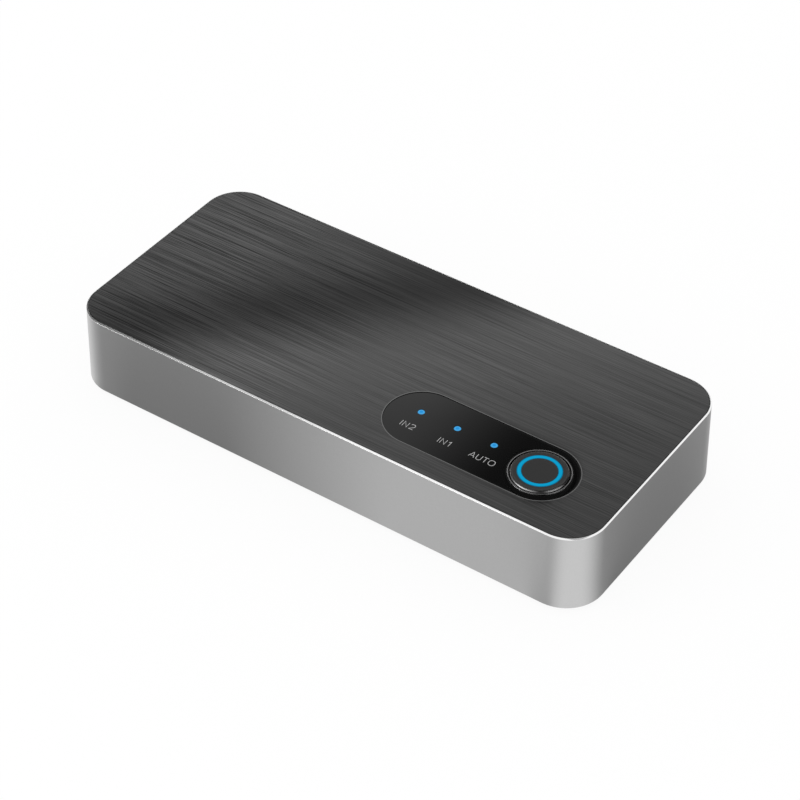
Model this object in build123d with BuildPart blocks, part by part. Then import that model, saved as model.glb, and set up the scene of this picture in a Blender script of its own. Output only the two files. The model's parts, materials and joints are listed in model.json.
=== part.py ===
from build123d import *

from math import atan2, degrees
import os

# A two-into-one video switch box: a silver case with a brushed top plate, a glossy
# stadium-shaped panel with three lamps and a round push button, and four sockets behind.
# Millimetres. X runs along the box towards the button end, Y towards the sockets and Z up.
# The origin is the middle of the footprint, on the table that the feet stand on.

# Outer form of the case
body_length = 100.0
body_width = 44.0
corner_radius = 6.5
wall_lean = 0.35  # each wall stands this much further out at its foot than at the top edge
edge_chamfer = 0.22  # bright cut along the top edge
overrun = 2.0  # every cut runs past its face by this much
fit_gap = 0.03  # between pieces that are pressed or glued together
slip_gap = 0.1  # between pieces that slide or are dropped in

# Housing: four walls and a deck under the top plate
wall = 1.8
deck_thickness = 1.4
head_room = 2.05  # from the video sockets up to the deck
lip_flat = 0.08  # level strip between the bright cut and the top plate
boss_radius = 2.6
boss_inset = 6.5  # from the nominal wall face to the axis of a corner boss
gusset_thickness = 1.0
deck_rib_thickness = 1.0
deck_rib_height = 0.8

# Top plate
plate_thickness = 0.8
plate_gap = 0.06
slot_edge = 0.12  # bright cut round the stadium opening

# Glossy panel in the top plate
lens_length = 34.7
lens_margin = 1.25  # round the button's bezel
lens_thickness = 0.7
lens_from_end = 8.25
lens_from_front = 4.7

# Lamps in the panel, with their light pipes
lamp_count = 3
lamp_from_button = 9.2
lamp_from_end = 5.3  # from the panel's other end
lamp_rise = 1.25  # from the panel's middle line towards the sockets
pipe_tip_radius = 0.57
pipe_width = 2.2
pipe_holder_wall = 0.8
pipe_holder_length = 3.0
lamp_length = 2.0
lamp_width = 1.25
lamp_height = 0.8
lamp_lens_inset = 0.2
lamp_base_height = 0.3
lamp_gap = 0.25  # from a lamp to the foot of its light pipe

# Push button
button_radius = 4.72
button_proud = 0.35
button_edge = 0.4
button_rim = 1.12  # from the lit ring out to the edge
button_travel = 0.3
stop_gap = 0.05
flange_width = 0.8
flange_thickness = 0.7
bezel_gap = 0.19
bezel_width = 0.24
bezel_proud = 0.1  # above the glossy panel
ring_width = 0.72
centre_thickness = 0.8
guide_length = 2.4
guide_stem_radius = 1.5

# Bottom cover, feet and screws
cover_thickness = 1.6
foot_radius = 4.0
foot_thickness = 0.8
standoff_radius = 2.3
standoff_height = 1.6
standoff_from_end = 6.0
post_width = 2.4
case_screw_radius = 1.0
case_screw_head = 1.8
case_screw_length = 7.0
board_screw_radius = 0.9
board_screw_head = 1.7
board_screw_head_height = 1.1
board_screw_length = 3.2
recess_length = 2.0
recess_width = 0.4
recess_depth = 0.5
tip_gap = 0.3  # under the tip of a screw
screw_sides = 12  # hidden screws, and the holes and posts round them, are drawn with flats

# Circuit board
board_thickness = 1.6
board_gap = 1.2
board_notch_gap = 0.6
leg_slot_gap = 0.2
part_gap = 1.1  # between neighbouring parts on the board

# Video sockets, in2, in1 and out, along the back wall
socket_names = ("in2", "in1", "out")
socket_from_end = 18.0
socket_recess = 0.3
socket_depth = 11.0
socket_metal = 0.3
socket_lift = 0.6
socket_flange = 0.4
socket_opening_gap = 0.25
mouth_height = 4.55
mouth_side_room = 1.2  # from the tongue to the side of the mouth
mouth_side = 2.7  # straight part of the mouth's sides, from the top
mouth_slant = 1.55
mouth_corner = 0.3
finger_width = 1.6
finger_length = 4.6
finger_slot = 0.35
finger_from_mouth = 1.2
finger_spread = 7.0
finger_bump = 0.25
finger_bump_length = 1.4
socket_leg_width = 1.4
socket_leg_shoulder = 0.4  # on each side of a leg, where it rests on the board
socket_leg_front = 4.2
socket_leg_rear = 8.8
leg_end_gap = 0.7  # from the legs to the bottom cover
block_depth = 3.4
tongue_thickness = 1.7
tongue_margin = 0.8
tongue_recess = 1.6
tongue_rise = 0.25
contact_pitch = 1.0
contact_width = 0.34
contact_thickness = 0.2
contact_bed = 0.12  # the contacts lie in a bed of this depth
contact_setback = 0.5
upper_contact_count = 10
lower_contact_count = 9
tail_reach = 0.5

# Power inlet
power_from_end = 18.0
power_depth = 8.6
power_height = 3.16
power_side_room = 0.82
power_metal = 0.3
power_lift = 0.1
power_block_depth = 2.4
power_tongue_thickness = 0.7
power_tongue_margin = 0.35
power_tongue_recess = 0.8
power_contact_count = 3  # above the tongue, and as many below it
power_contact_pitch = 2.0
power_contact_width = 0.6
power_contact_thickness = 0.12
power_contact_bed = 0.08
power_leg_width = 1.0
power_leg_front = 4.0
power_leg_rear = 7.4

# Tact switch under the button
switch_width = 6.0
switch_corner = 0.4
switch_base_height = 3.1
switch_cover_thickness = 0.3
plunger_radius = 1.7
plunger_stem = 1.6  # above the switch's cover
plunger_flange_width = 0.3
plunger_flange_thickness = 0.6
well_gap = 0.2
dome_gap = 0.3
dome_rest = 0.25  # left of the dome's height when it is pressed flat
dome_thickness = 0.12
terminal_width = 0.7
terminal_thickness = 0.3
terminal_spread = 4.5
terminal_rise = 0.8
terminal_bed = 0.9
ring_lamp_gap = 1.3

# Chips and small parts on the board
chip_height = 1.3
chip_lift = 0.1
chip_edge = 0.3
chip_lead_count = 8
chip_corner = 1.0
lead_pitch = 1.0
lead_width = 0.4
lead_thickness = 0.16
lead_reach = 1.0
lead_foot = 0.5
controller_width = 4.4
controller_lead_count = 7
controller_corner = 0.45
regulator_length = 6.5
regulator_width = 3.5
regulator_height = 1.6
regulator_lead_pitch = 2.3
regulator_lead_width = 0.7
crystal_length = 5.0
crystal_width = 3.2
crystal_height = 1.1
crystal_corner = 0.5
can_radius = 2.5
can_base = 5.3
can_base_height = 0.7
can_base_corner = 1.0
can_from_end = 13.0
can_from_front = 13.0
can_pitch = 8.0
can_count = 2
can_head_room = 0.7
array_length = 2.5
array_width = 1.0
array_height = 0.5
array_spread = 6.0
capacitor_length = 1.0
capacitor_width = 0.55
capacitor_height = 0.45
capacitor_pitch = 1.8
capacitor_count = 5

# Levels, from the table up
body_bottom = foot_thickness
cover_top = body_bottom + cover_thickness
board_bottom = cover_top + standoff_height
board_top = board_bottom + board_thickness
deck_bottom = board_top + socket_lift + mouth_height + socket_metal + head_room
deck_top = deck_bottom + deck_thickness
body_top = deck_top + plate_thickness
body_height = body_top - body_bottom
lens_top = deck_top + lens_thickness
button_top = lens_top + button_proud
leg_reach = board_top - cover_top - leg_end_gap

# Places that several pieces share
lip_width = edge_chamfer + lip_flat
boss_x = body_length / 2 - boss_inset
boss_y = body_width / 2 - boss_inset
bezel_inner = button_radius + bezel_gap
bezel_outer = bezel_inner + bezel_width
lens_width = 2 * (bezel_outer + lens_margin)
lens_x = body_length / 2 - lens_from_end - lens_length / 2
lens_y = -body_width / 2 + lens_from_front + lens_width / 2
button_x = lens_x + lens_length / 2 - lens_width / 2
button_y = lens_y
ring_radius = button_radius - button_rim
lamp_start = button_x - lamp_from_button
lamp_end = lens_x - lens_length / 2 + lamp_from_end
lamp_pitch = (lamp_start - lamp_end) / (lamp_count - 1)
lamp_y = lens_y + lamp_rise
lamp_places = [(lamp_start - i * lamp_pitch, lamp_y) for i in range(lamp_count)]
lamp_names = ["auto", "in1", "in2"]
standoff_x = body_length / 2 - standoff_from_end
mouth_y = body_width / 2 - socket_recess
power_x = body_length / 2 - power_from_end
socket_start = -body_length / 2 + socket_from_end
socket_pitch = (power_x - socket_start) / len(socket_names)
socket_x = {name: socket_start + i * socket_pitch for i, name in enumerate(socket_names)}
tongue_width = upper_contact_count * contact_pitch + 2 * tongue_margin
mouth_width = tongue_width + 2 * mouth_side_room
mouth_base = mouth_width - 2 * mouth_slant
power_tongue_width = power_contact_count * power_contact_pitch + 2 * power_tongue_margin
power_width = power_tongue_width + 2 * (power_side_room + power_metal)
socket_leg_spread = mouth_width + socket_metal
power_leg_spread = power_width - power_metal


def back_plane(x, y=mouth_y):
    """A plane across a socket: sketch X is along the box, sketch Y is up from the board, and an
    extrusion goes into the case."""
    return Plane(origin=(x, y, board_top), x_dir=(1, 0, 0), z_dir=(0, -1, 0))


def row_planes(x, y, angle, reach=0, count=1, pitch=0):
    """Upright planes across a row of legs, contacts or leads: sketch X points away from the row, at
    this angle, and sketch Y is up from the board."""
    out = Vector(1, 0, 0).rotate(Axis.Z, angle)
    along = Vector(0, 1, 0).rotate(Axis.Z, angle)
    planes = []
    for i in range(count):
        origin = Vector(x, y, board_top) + out * reach + along * ((i - (count - 1) / 2) * pitch)
        planes.append(Plane(origin=origin, x_dir=out, z_dir=-along))
    return planes


def turning_plane(x, y):
    """Half sections of turned pieces: sketch X is the radius and sketch Y is the height."""
    return Plane(origin=(x, y, 0), x_dir=(1, 0, 0), z_dir=(0, -1, 0))


def turning_axis(x, y):
    return Axis((x, y, 0), (0, 0, 1))


def mouth_profile(growth):
    """The mouth of a video socket, grown on every side: wide above, with slanted lower corners."""
    ceiling = socket_lift + mouth_height
    with BuildSketch(mode=Mode.PRIVATE) as profile:
        with BuildLine():
            Polyline(
                (-mouth_width / 2, ceiling),
                (mouth_width / 2, ceiling),
                (mouth_width / 2, ceiling - mouth_side),
                (mouth_base / 2, socket_lift),
                (-mouth_base / 2, socket_lift),
                (-mouth_width / 2, ceiling - mouth_side),
                close=True,
            )
        make_face()
        chamfer(profile.vertices(), mouth_corner)
        if growth:
            offset(amount=growth, kind=Kind.INTERSECTION)
    return profile.sketch


def bent_contact(start, turn, level, thickness):
    """Side view of a socket's contact: a level blade and a tail that drops to the board."""
    with BuildSketch(mode=Mode.PRIVATE) as strip:
        with BuildLine():
            Polyline(
                (start, level),
                (start, level + thickness),
                (turn, level + thickness),
                (turn, 0),
                (turn - thickness, 0),
                (turn - thickness, level),
                close=True,
            )
        make_face()
    return strip.sketch


def bent_lead(level):
    """Side view of a chip's lead: sloping down out of the body, then out along the board."""
    turn = lead_reach - lead_foot
    with BuildSketch(mode=Mode.PRIVATE) as strip:
        with BuildLine():
            Polyline(
                (0, level),
                (0, level + lead_thickness),
                (turn, lead_thickness),
                (lead_reach, lead_thickness),
                (lead_reach, 0),
                (turn - lead_thickness, 0),
                close=True,
            )
        make_face()
    return strip.sketch


def finish(builder, name):
    """Names the piece and writes its file."""
    builder.part.label = name
    export_step(builder.part, f"parts/{name}.step")


os.makedirs("parts", exist_ok=True)

# Upper housing: tapered walls, a deck under the top plate and a boss in each corner
lean_angle = degrees(atan2(wall_lean, body_height))
gusset_reach = boss_inset - wall / 2
screw_hole_depth = case_screw_length - cover_thickness + tip_gap
opening_start = body_width / 2 + wall_lean + overrun
opening_depth = overrun + wall_lean + wall + slip_gap
holder_edge = pipe_width + 2 * (slip_gap + pipe_holder_wall)
rib_places = [(x, 0) for x in socket_x.values()]

with BuildPart() as upper_housing:
    with BuildSketch(Plane.XY.offset(body_bottom)):
        RectangleRounded(
            body_length + 2 * wall_lean, body_width + 2 * wall_lean, corner_radius + wall_lean
        )
    extrude(amount=body_height, taper=lean_angle)
    chamfer(upper_housing.faces().sort_by(Axis.Z)[-1].edges(), edge_chamfer)
    with BuildSketch(Plane.XY.offset(deck_top)):
        RectangleRounded(
            body_length - 2 * lip_width, body_width - 2 * lip_width, corner_radius - lip_width
        )
    extrude(amount=plate_thickness + overrun, mode=Mode.SUBTRACT)
    with BuildSketch(Plane.XY.offset(deck_bottom)):
        RectangleRounded(body_length - 2 * wall, body_width - 2 * wall, corner_radius - wall)
    extrude(amount=-(deck_bottom - body_bottom) - overrun, mode=Mode.SUBTRACT)

    # Bosses for the case screws, each tied to two walls by gussets that stand clear of the board
    with BuildSketch(Plane.XY.offset(cover_top)):
        with GridLocations(2 * boss_x, 2 * boss_y, 2, 2):
            RegularPolygon(boss_radius, screw_sides)
    extrude(amount=deck_bottom - cover_top)
    with BuildSketch(Plane.XY.offset(board_bottom)):
        with GridLocations(2 * boss_x + gusset_reach, 2 * boss_y, 2, 2):
            Rectangle(gusset_reach, gusset_thickness)
        with GridLocations(2 * boss_x, 2 * boss_y + gusset_reach, 2, 2):
            Rectangle(gusset_thickness, gusset_reach)
    extrude(amount=deck_bottom - board_bottom)
    with BuildSketch(Plane.XY.offset(cover_top - overrun)):
        with GridLocations(2 * boss_x, 2 * boss_y, 2, 2):
            RegularPolygon(case_screw_radius + fit_gap, screw_sides)
    extrude(amount=screw_hole_depth + overrun, mode=Mode.SUBTRACT)

    # Ribs across the underside of the deck, one over each video socket
    with BuildSketch(Plane.XY.offset(deck_bottom - deck_rib_height)):
        with Locations(*rib_places):
            Rectangle(deck_rib_thickness, body_width - wall)
    extrude(amount=deck_rib_height)

    # Holder for the light pipes, and the openings of the deck
    with BuildSketch(Plane.XY.offset(deck_bottom - pipe_holder_length)):
        with Locations(((lamp_start + lamp_end) / 2, lamp_y)):
            Rectangle(lamp_start - lamp_end + holder_edge, holder_edge)
    extrude(amount=pipe_holder_length)
    with BuildSketch(Plane.XY.offset(deck_top)):
        with Locations(*lamp_places):
            Rectangle(pipe_width + 2 * slip_gap, pipe_width + 2 * slip_gap)
        with Locations((button_x, button_y)):
            Circle(button_radius + slip_gap)
    extrude(amount=-deck_thickness - pipe_holder_length - overrun, mode=Mode.SUBTRACT)

    # Openings of the back wall for the video sockets and the power inlet
    for x in socket_x.values():
        with BuildSketch(back_plane(x, opening_start)):
            add(mouth_profile(socket_metal + socket_flange + socket_opening_gap))
        extrude(amount=opening_depth, mode=Mode.SUBTRACT)
    with BuildSketch(back_plane(power_x, opening_start)):
        with Locations((0, power_lift + power_height / 2)):
            SlotOverall(power_width + 2 * socket_opening_gap, power_height + 2 * socket_opening_gap)
    extrude(amount=opening_depth, mode=Mode.SUBTRACT)
finish(upper_housing, "upper_housing")

# Top plate: brushed sheet let into the housing, with a bright edge round its opening
plate_inset = lip_width + plate_gap
with BuildPart() as top_plate:
    with BuildSketch(Plane.XY.offset(deck_top)):
        RectangleRounded(
            body_length - 2 * plate_inset, body_width - 2 * plate_inset, corner_radius - plate_inset
        )
        with Locations((lens_x, lens_y)):
            SlotOverall(lens_length + 2 * fit_gap, lens_width + 2 * fit_gap, mode=Mode.SUBTRACT)
    extrude(amount=plate_thickness)
    chamfer(top_plate.faces().sort_by(Axis.Z)[-1].inner_wires()[0].edges(), slot_edge)
finish(top_plate, "top_plate")

# Glossy panel with openings for the lamps and the button, and the bright ring round the button
with BuildPart() as indicator_panel:
    with BuildSketch(Plane.XY.offset(deck_top)):
        with Locations((lens_x, lens_y)):
            SlotOverall(lens_length, lens_width)
        with Locations(*lamp_places):
            Circle(pipe_tip_radius + fit_gap, mode=Mode.SUBTRACT)
        with Locations((button_x, button_y)):
            Circle(bezel_outer + fit_gap, mode=Mode.SUBTRACT)
    extrude(amount=lens_thickness)
finish(indicator_panel, "indicator_panel")

with BuildPart() as button_bezel:
    with BuildSketch(Plane.XY.offset(deck_top)):
        with Locations((button_x, button_y)):
            Circle(bezel_outer)
            Circle(bezel_inner, mode=Mode.SUBTRACT)
    extrude(amount=lens_thickness + bezel_proud)
finish(button_bezel, "button_bezel")

# Push button: a cap with a trapped flange, and a light guide in its bore that shows as a ring
# round a dark centre and reaches down to the tact switch
centre_bottom = button_top - centre_thickness
guide_bottom = button_top - guide_length
flange_top = deck_bottom - stop_gap
flange_bottom = flange_top - flange_thickness
base_top = board_top + switch_base_height
cover_plate_top = base_top + switch_cover_thickness
plunger_top = cover_plate_top + plunger_stem
ring_inner = ring_radius - ring_width

with BuildPart() as button_cap:
    with BuildSketch(turning_plane(button_x, button_y)):
        with BuildLine():
            Polyline(
                (ring_radius + fit_gap, button_top),
                (button_radius - button_edge, button_top),
                (button_radius, button_top - button_edge),
                (button_radius, flange_top),
                (button_radius + flange_width, flange_top),
                (button_radius + flange_width, flange_bottom),
                (ring_radius + fit_gap, flange_bottom),
                close=True,
            )
        make_face()
    revolve(axis=turning_axis(button_x, button_y))
finish(button_cap, "button_cap")

with BuildPart() as button_light_guide:
    with BuildSketch(turning_plane(button_x, button_y)):
        with BuildLine():
            Polyline(
                (0, plunger_top + stop_gap),
                (guide_stem_radius, plunger_top + stop_gap),
                (guide_stem_radius, guide_bottom),
                (ring_radius, guide_bottom),
                (ring_radius, button_top),
                (ring_inner, button_top),
                (ring_inner, centre_bottom),
                (0, centre_bottom),
                close=True,
            )
        make_face()
    revolve(axis=turning_axis(button_x, button_y))
finish(button_light_guide, "button_light_guide")

with BuildPart() as button_centre:
    with BuildSketch(Plane.XY.offset(centre_bottom)):
        with Locations((button_x, button_y)):
            Circle(ring_inner - fit_gap)
    extrude(amount=centre_thickness)
finish(button_centre, "button_centre")

# Light pipes: a square column over each lamp, held under the glossy panel by its shoulders, with a
# round tip that ends flush with the panel
pipe_foot = board_top + lamp_height + lamp_gap
for name, place in zip(lamp_names, lamp_places):
    with BuildPart() as light_pipe:
        with BuildSketch(Plane.XY.offset(pipe_foot)):
            with Locations(place):
                Rectangle(pipe_width, pipe_width)
        extrude(amount=deck_top - slip_gap - pipe_foot)
        with BuildSketch(Plane.XY.offset(pipe_foot)):
            with Locations(place):
                Circle(pipe_tip_radius)
        extrude(amount=lens_top - pipe_foot)
    finish(light_pipe, f"light_pipe_{name}")

# Bottom cover: a plate inside the walls, with countersinks, two screw posts for the board and a
# square post behind each gap between the sockets, where plugs push on the board
cover_inset = wall + slip_gap
post_places = [(x + socket_pitch / 2, mouth_y - socket_leg_rear) for x in socket_x.values()]

with BuildPart() as bottom_cover:
    with BuildSketch(Plane.XY.offset(body_bottom)):
        RectangleRounded(
            body_length - 2 * cover_inset, body_width - 2 * cover_inset, corner_radius - cover_inset
        )
    extrude(amount=cover_thickness)
    with BuildSketch(Plane.XY.offset(cover_top)):
        with GridLocations(2 * standoff_x, 0, 2, 1):
            RegularPolygon(standoff_radius, screw_sides)
        with Locations(*post_places):
            Rectangle(post_width, post_width)
    extrude(amount=standoff_height)
    with BuildSketch(Plane.XY.offset(board_top)):
        with GridLocations(2 * standoff_x, 0, 2, 1):
            RegularPolygon(board_screw_radius + fit_gap, screw_sides)
    extrude(amount=-board_screw_length - tip_gap, mode=Mode.SUBTRACT)
    with BuildSketch(Plane.XY.offset(body_bottom)):
        with GridLocations(2 * boss_x, 2 * boss_y, 2, 2):
            RegularPolygon(case_screw_radius + slip_gap, screw_sides)
    extrude(amount=cover_thickness + overrun, mode=Mode.SUBTRACT)
    with BuildSketch(Plane.XY.offset(body_bottom)):
        with GridLocations(2 * boss_x, 2 * boss_y, 2, 2):
            RegularPolygon(case_screw_head + slip_gap, screw_sides)
    extrude(amount=case_screw_head - case_screw_radius, taper=45, mode=Mode.SUBTRACT)
finish(bottom_cover, "bottom_cover")

# Rubber feet, stuck on over the case screws
foot_places = {
    "foot_front_left": (-boss_x, -boss_y),
    "foot_front_right": (boss_x, -boss_y),
    "foot_back_left": (-boss_x, boss_y),
    "foot_back_right": (boss_x, boss_y),
}
for name, place in foot_places.items():
    with BuildPart() as foot:
        with BuildSketch():
            with Locations(place):
                Circle(foot_radius)
        extrude(amount=foot_thickness)
    finish(foot, name)

# Screws: four countersunk ones from below, and two with flat heads that hold the board
with BuildPart() as case_screws:
    with BuildSketch(Plane.XY.offset(body_bottom)):
        with GridLocations(2 * boss_x, 2 * boss_y, 2, 2):
            RegularPolygon(case_screw_head, screw_sides)
    extrude(amount=case_screw_head - case_screw_radius, taper=45)
    with BuildSketch(Plane.XY.offset(body_bottom)):
        with GridLocations(2 * boss_x, 2 * boss_y, 2, 2):
            RegularPolygon(case_screw_radius, screw_sides)
    extrude(amount=case_screw_length)
    with BuildSketch(Plane.XY.offset(body_bottom)):
        with GridLocations(2 * boss_x, 2 * boss_y, 2, 2):
            Rectangle(recess_length, recess_width)
            Rectangle(recess_width, recess_length)
    extrude(amount=recess_depth, mode=Mode.SUBTRACT)
finish(case_screws, "case_screws")

screw_head_top = board_top + board_screw_head_height
with BuildPart() as board_screws:
    with BuildSketch(Plane.XY.offset(board_top)):
        with GridLocations(2 * standoff_x, 0, 2, 1):
            RegularPolygon(board_screw_head, screw_sides)
    extrude(amount=board_screw_head_height)
    with BuildSketch(Plane.XY.offset(board_top)):
        with GridLocations(2 * standoff_x, 0, 2, 1):
            RegularPolygon(board_screw_radius, screw_sides)
    extrude(amount=-board_screw_length)
    with BuildSketch(Plane.XY.offset(screw_head_top)):
        with GridLocations(2 * standoff_x, 0, 2, 1):
            Rectangle(recess_length, recess_width)
            Rectangle(recess_width, recess_length)
    extrude(amount=-recess_depth, mode=Mode.SUBTRACT)
finish(board_screws, "board_screws")

# Circuit board: notched round the bosses, with holes for its screws and slots for every leg
board_length = body_length - 2 * (wall + board_gap)
board_width = body_width - 2 * (wall + board_gap)
notch_x = boss_x - boss_radius - board_notch_gap
notch_y = boss_y - boss_radius - board_notch_gap
leg_rows = [
    (x, socket_leg_spread, reach, socket_metal, socket_leg_width)
    for x in socket_x.values()
    for reach in (socket_leg_front, socket_leg_rear)
]
leg_rows += [
    (power_x, power_leg_spread, reach, power_metal, power_leg_width)
    for reach in (power_leg_front, power_leg_rear)
]

with BuildPart() as circuit_board:
    with BuildSketch(Plane.XY.offset(board_bottom)):
        Rectangle(board_length, board_width)
        with GridLocations(notch_x + board_length / 2, notch_y + board_width / 2, 2, 2):
            Rectangle(board_length / 2 - notch_x, board_width / 2 - notch_y, mode=Mode.SUBTRACT)
        with GridLocations(2 * standoff_x, 0, 2, 1):
            RegularPolygon(board_screw_radius + slip_gap, screw_sides, mode=Mode.SUBTRACT)
        for x, spread, reach, metal, width in leg_rows:
            with Locations((x, mouth_y - reach)):
                with GridLocations(spread, 0, 2, 1):
                    Rectangle(metal + 2 * leg_slot_gap, width + 2 * leg_slot_gap, mode=Mode.SUBTRACT)
        with Locations((button_x, button_y)):
            with GridLocations(switch_width + terminal_thickness, terminal_spread, 2, 2):
                Rectangle(
                    terminal_thickness + 2 * leg_slot_gap,
                    terminal_width + 2 * leg_slot_gap,
                    mode=Mode.SUBTRACT,
                )
    extrude(amount=board_thickness)
finish(circuit_board, "circuit_board")

# Video socket, made once in the middle of the back wall and then placed three times: a folded
# steel shell with spring fingers and four legs, an insulator with a tongue, and two rows of
# contacts whose tails stand on the board
mouth_middle = socket_lift + mouth_height / 2 + tongue_rise
tongue_length = socket_depth - block_depth - tongue_recess
contact_start = tongue_recess + contact_setback
finger_start = finger_from_mouth + finger_slot
finger_levels = {1: socket_lift + mouth_height, -1: socket_lift}
leg_grip = socket_lift + mouth_height - mouth_side / 2
contact_rows = {
    mouth_middle + tongue_thickness / 2 - contact_bed: upper_contact_count,
    mouth_middle - tongue_thickness / 2 + contact_bed - contact_thickness: lower_contact_count,
}

with BuildPart() as socket_shell:
    with BuildSketch(back_plane(0)):
        add(mouth_profile(socket_metal))
    extrude(amount=socket_depth)
    with BuildSketch(back_plane(0)):
        add(mouth_profile(socket_metal + socket_flange))
    extrude(amount=socket_metal)
    with BuildSketch(back_plane(0)):
        add(mouth_profile(0))
    extrude(amount=socket_depth, mode=Mode.SUBTRACT)
    leg_planes = row_planes(0, mouth_y, -90, 0, 2, socket_leg_spread)
    with BuildSketch(*leg_planes):
        with Locations((socket_leg_front, 0), (socket_leg_rear, 0)):
            Rectangle(
                socket_leg_width + 2 * socket_leg_shoulder, leg_grip, align=(Align.CENTER, Align.MIN)
            )
            Rectangle(socket_leg_width, leg_reach, align=(Align.CENTER, Align.MAX))
    extrude(amount=socket_metal / 2, both=True)
    for side, level in finger_levels.items():
        with BuildSketch(Plane.XY.offset(board_top + level)):
            with Locations((0, mouth_y - finger_from_mouth)):
                with GridLocations(finger_spread, 0, 2, 1):
                    Rectangle(
                        finger_width + 2 * finger_slot,
                        finger_length + finger_slot,
                        align=(Align.CENTER, Align.MAX),
                    )
        extrude(amount=side * socket_metal, mode=Mode.SUBTRACT)
        with BuildSketch(*row_planes(0, mouth_y, -90, 0, 2, finger_spread)):
            with BuildLine():
                Polyline(
                    (finger_start, level),
                    (finger_start + finger_bump_length / 2, level - side * finger_bump),
                    (finger_start + finger_bump_length, level),
                    (finger_start + finger_length, level),
                    (finger_start + finger_length, level + side * socket_metal),
                    (finger_start, level + side * socket_metal),
                    close=True,
                )
            make_face()
        extrude(amount=finger_width / 2, both=True)

with BuildPart() as socket_insulator:
    with BuildSketch(back_plane(0, mouth_y - socket_depth + block_depth)):
        add(mouth_profile(-fit_gap))
    extrude(amount=block_depth)
    with BuildSketch(back_plane(0, mouth_y - tongue_recess)):
        with Locations((0, mouth_middle)):
            Rectangle(tongue_width, tongue_thickness)
    extrude(amount=tongue_length)
    with BuildSketch(back_plane(0, mouth_y - contact_start + slip_gap)):
        for level, count in contact_rows.items():
            with Locations((0, level + contact_thickness / 2)):
                Rectangle(count * contact_pitch, contact_thickness)
    extrude(amount=socket_depth, mode=Mode.SUBTRACT)

with BuildPart() as socket_contacts:
    for level, count in contact_rows.items():
        with BuildSketch(*row_planes(0, mouth_y, -90, 0, count, contact_pitch)):
            add(bent_contact(contact_start, socket_depth + tail_reach, level, contact_thickness))
        extrude(amount=contact_width / 2, both=True)

for name, x in socket_x.items():
    for kind, piece in (("shell", socket_shell), ("insulator", socket_insulator), ("contacts", socket_contacts)):
        with BuildPart() as placed:
            with Locations((x, 0, 0)):
                add(piece.part)
        finish(placed, f"video_socket_{kind}_{name}")

# Power inlet: the same three pieces, smaller and with a stadium-shaped mouth
power_middle = power_lift + power_height / 2
power_contact_start = power_tongue_recess + contact_setback
power_rows = {
    -1: power_middle + power_tongue_thickness / 2 - power_contact_bed,
    1: power_middle - power_tongue_thickness / 2 + power_contact_bed - power_contact_thickness,
}

with BuildPart() as power_port_shell:
    with BuildSketch(back_plane(power_x)):
        with Locations((0, power_middle)):
            SlotOverall(power_width, power_height)
            SlotOverall(power_width - 2 * power_metal, power_height - 2 * power_metal, mode=Mode.SUBTRACT)
    extrude(amount=power_depth)
    with BuildSketch(*row_planes(power_x, mouth_y, -90, 0, 2, power_leg_spread)):
        with Locations((power_leg_front, power_middle), (power_leg_rear, power_middle)):
            Rectangle(power_leg_width, power_middle + leg_reach, align=(Align.CENTER, Align.MAX))
    extrude(amount=power_metal / 2, both=True)
finish(power_port_shell, "power_port_shell")

with BuildPart() as power_port_insulator:
    inner_inset = 2 * (power_metal + fit_gap)
    with BuildSketch(back_plane(power_x, mouth_y - power_depth + power_block_depth)):
        with Locations((0, power_middle)):
            SlotOverall(power_width - inner_inset, power_height - inner_inset)
    extrude(amount=power_block_depth)
    with BuildSketch(back_plane(power_x, mouth_y - power_tongue_recess)):
        with Locations((0, power_middle)):
            Rectangle(power_tongue_width, power_tongue_thickness)
    extrude(amount=power_depth - power_block_depth - power_tongue_recess)
    with BuildSketch(back_plane(power_x, mouth_y - power_contact_start + slip_gap)):
        for level in power_rows.values():
            with Locations((0, level + power_contact_thickness / 2)):
                Rectangle(power_contact_count * power_contact_pitch, power_contact_thickness)
    extrude(amount=power_depth, mode=Mode.SUBTRACT)
finish(power_port_insulator, "power_port_insulator")

with BuildPart() as power_port_contacts:
    for side, level in power_rows.items():
        row_x = power_x + side * power_contact_pitch / 4
        with BuildSketch(*row_planes(row_x, mouth_y, -90, 0, power_contact_count, power_contact_pitch)):
            add(bent_contact(power_contact_start, power_depth + tail_reach, level, power_contact_thickness))
        extrude(amount=power_contact_width / 2, both=True)
finish(power_port_contacts, "power_port_contacts")

# Tact switch under the button: base, terminals, snap dome, plunger and cover
well_radius = plunger_radius + plunger_flange_width + well_gap
dome_radius = well_radius - dome_gap
dome_height = button_travel + dome_rest
switch_floor = base_top - slip_gap - plunger_flange_thickness - stop_gap - dome_height
plunger_bottom = switch_floor + dome_height + stop_gap
dome_crown = dome_radius / 2

with BuildPart() as switch_base:
    with BuildSketch(Plane.XY.offset(board_top)) as base_outline:
        with Locations((button_x, button_y)):
            Rectangle(switch_width, switch_width)
        chamfer(base_outline.vertices(), switch_corner)
    extrude(amount=switch_base_height)
    with BuildSketch(Plane.XY.offset(switch_floor)):
        with Locations((button_x, button_y)):
            Circle(well_radius)
    extrude(amount=switch_base_height, mode=Mode.SUBTRACT)
    with BuildSketch(Plane.XY.offset(board_top + terminal_rise - terminal_thickness)):
        with Locations((button_x, button_y)):
            with GridLocations(switch_width, terminal_spread, 2, 2):
                Rectangle(2 * terminal_bed, terminal_width + 2 * fit_gap)
    extrude(amount=terminal_thickness, mode=Mode.SUBTRACT)
finish(switch_base, "switch_base")

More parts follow.
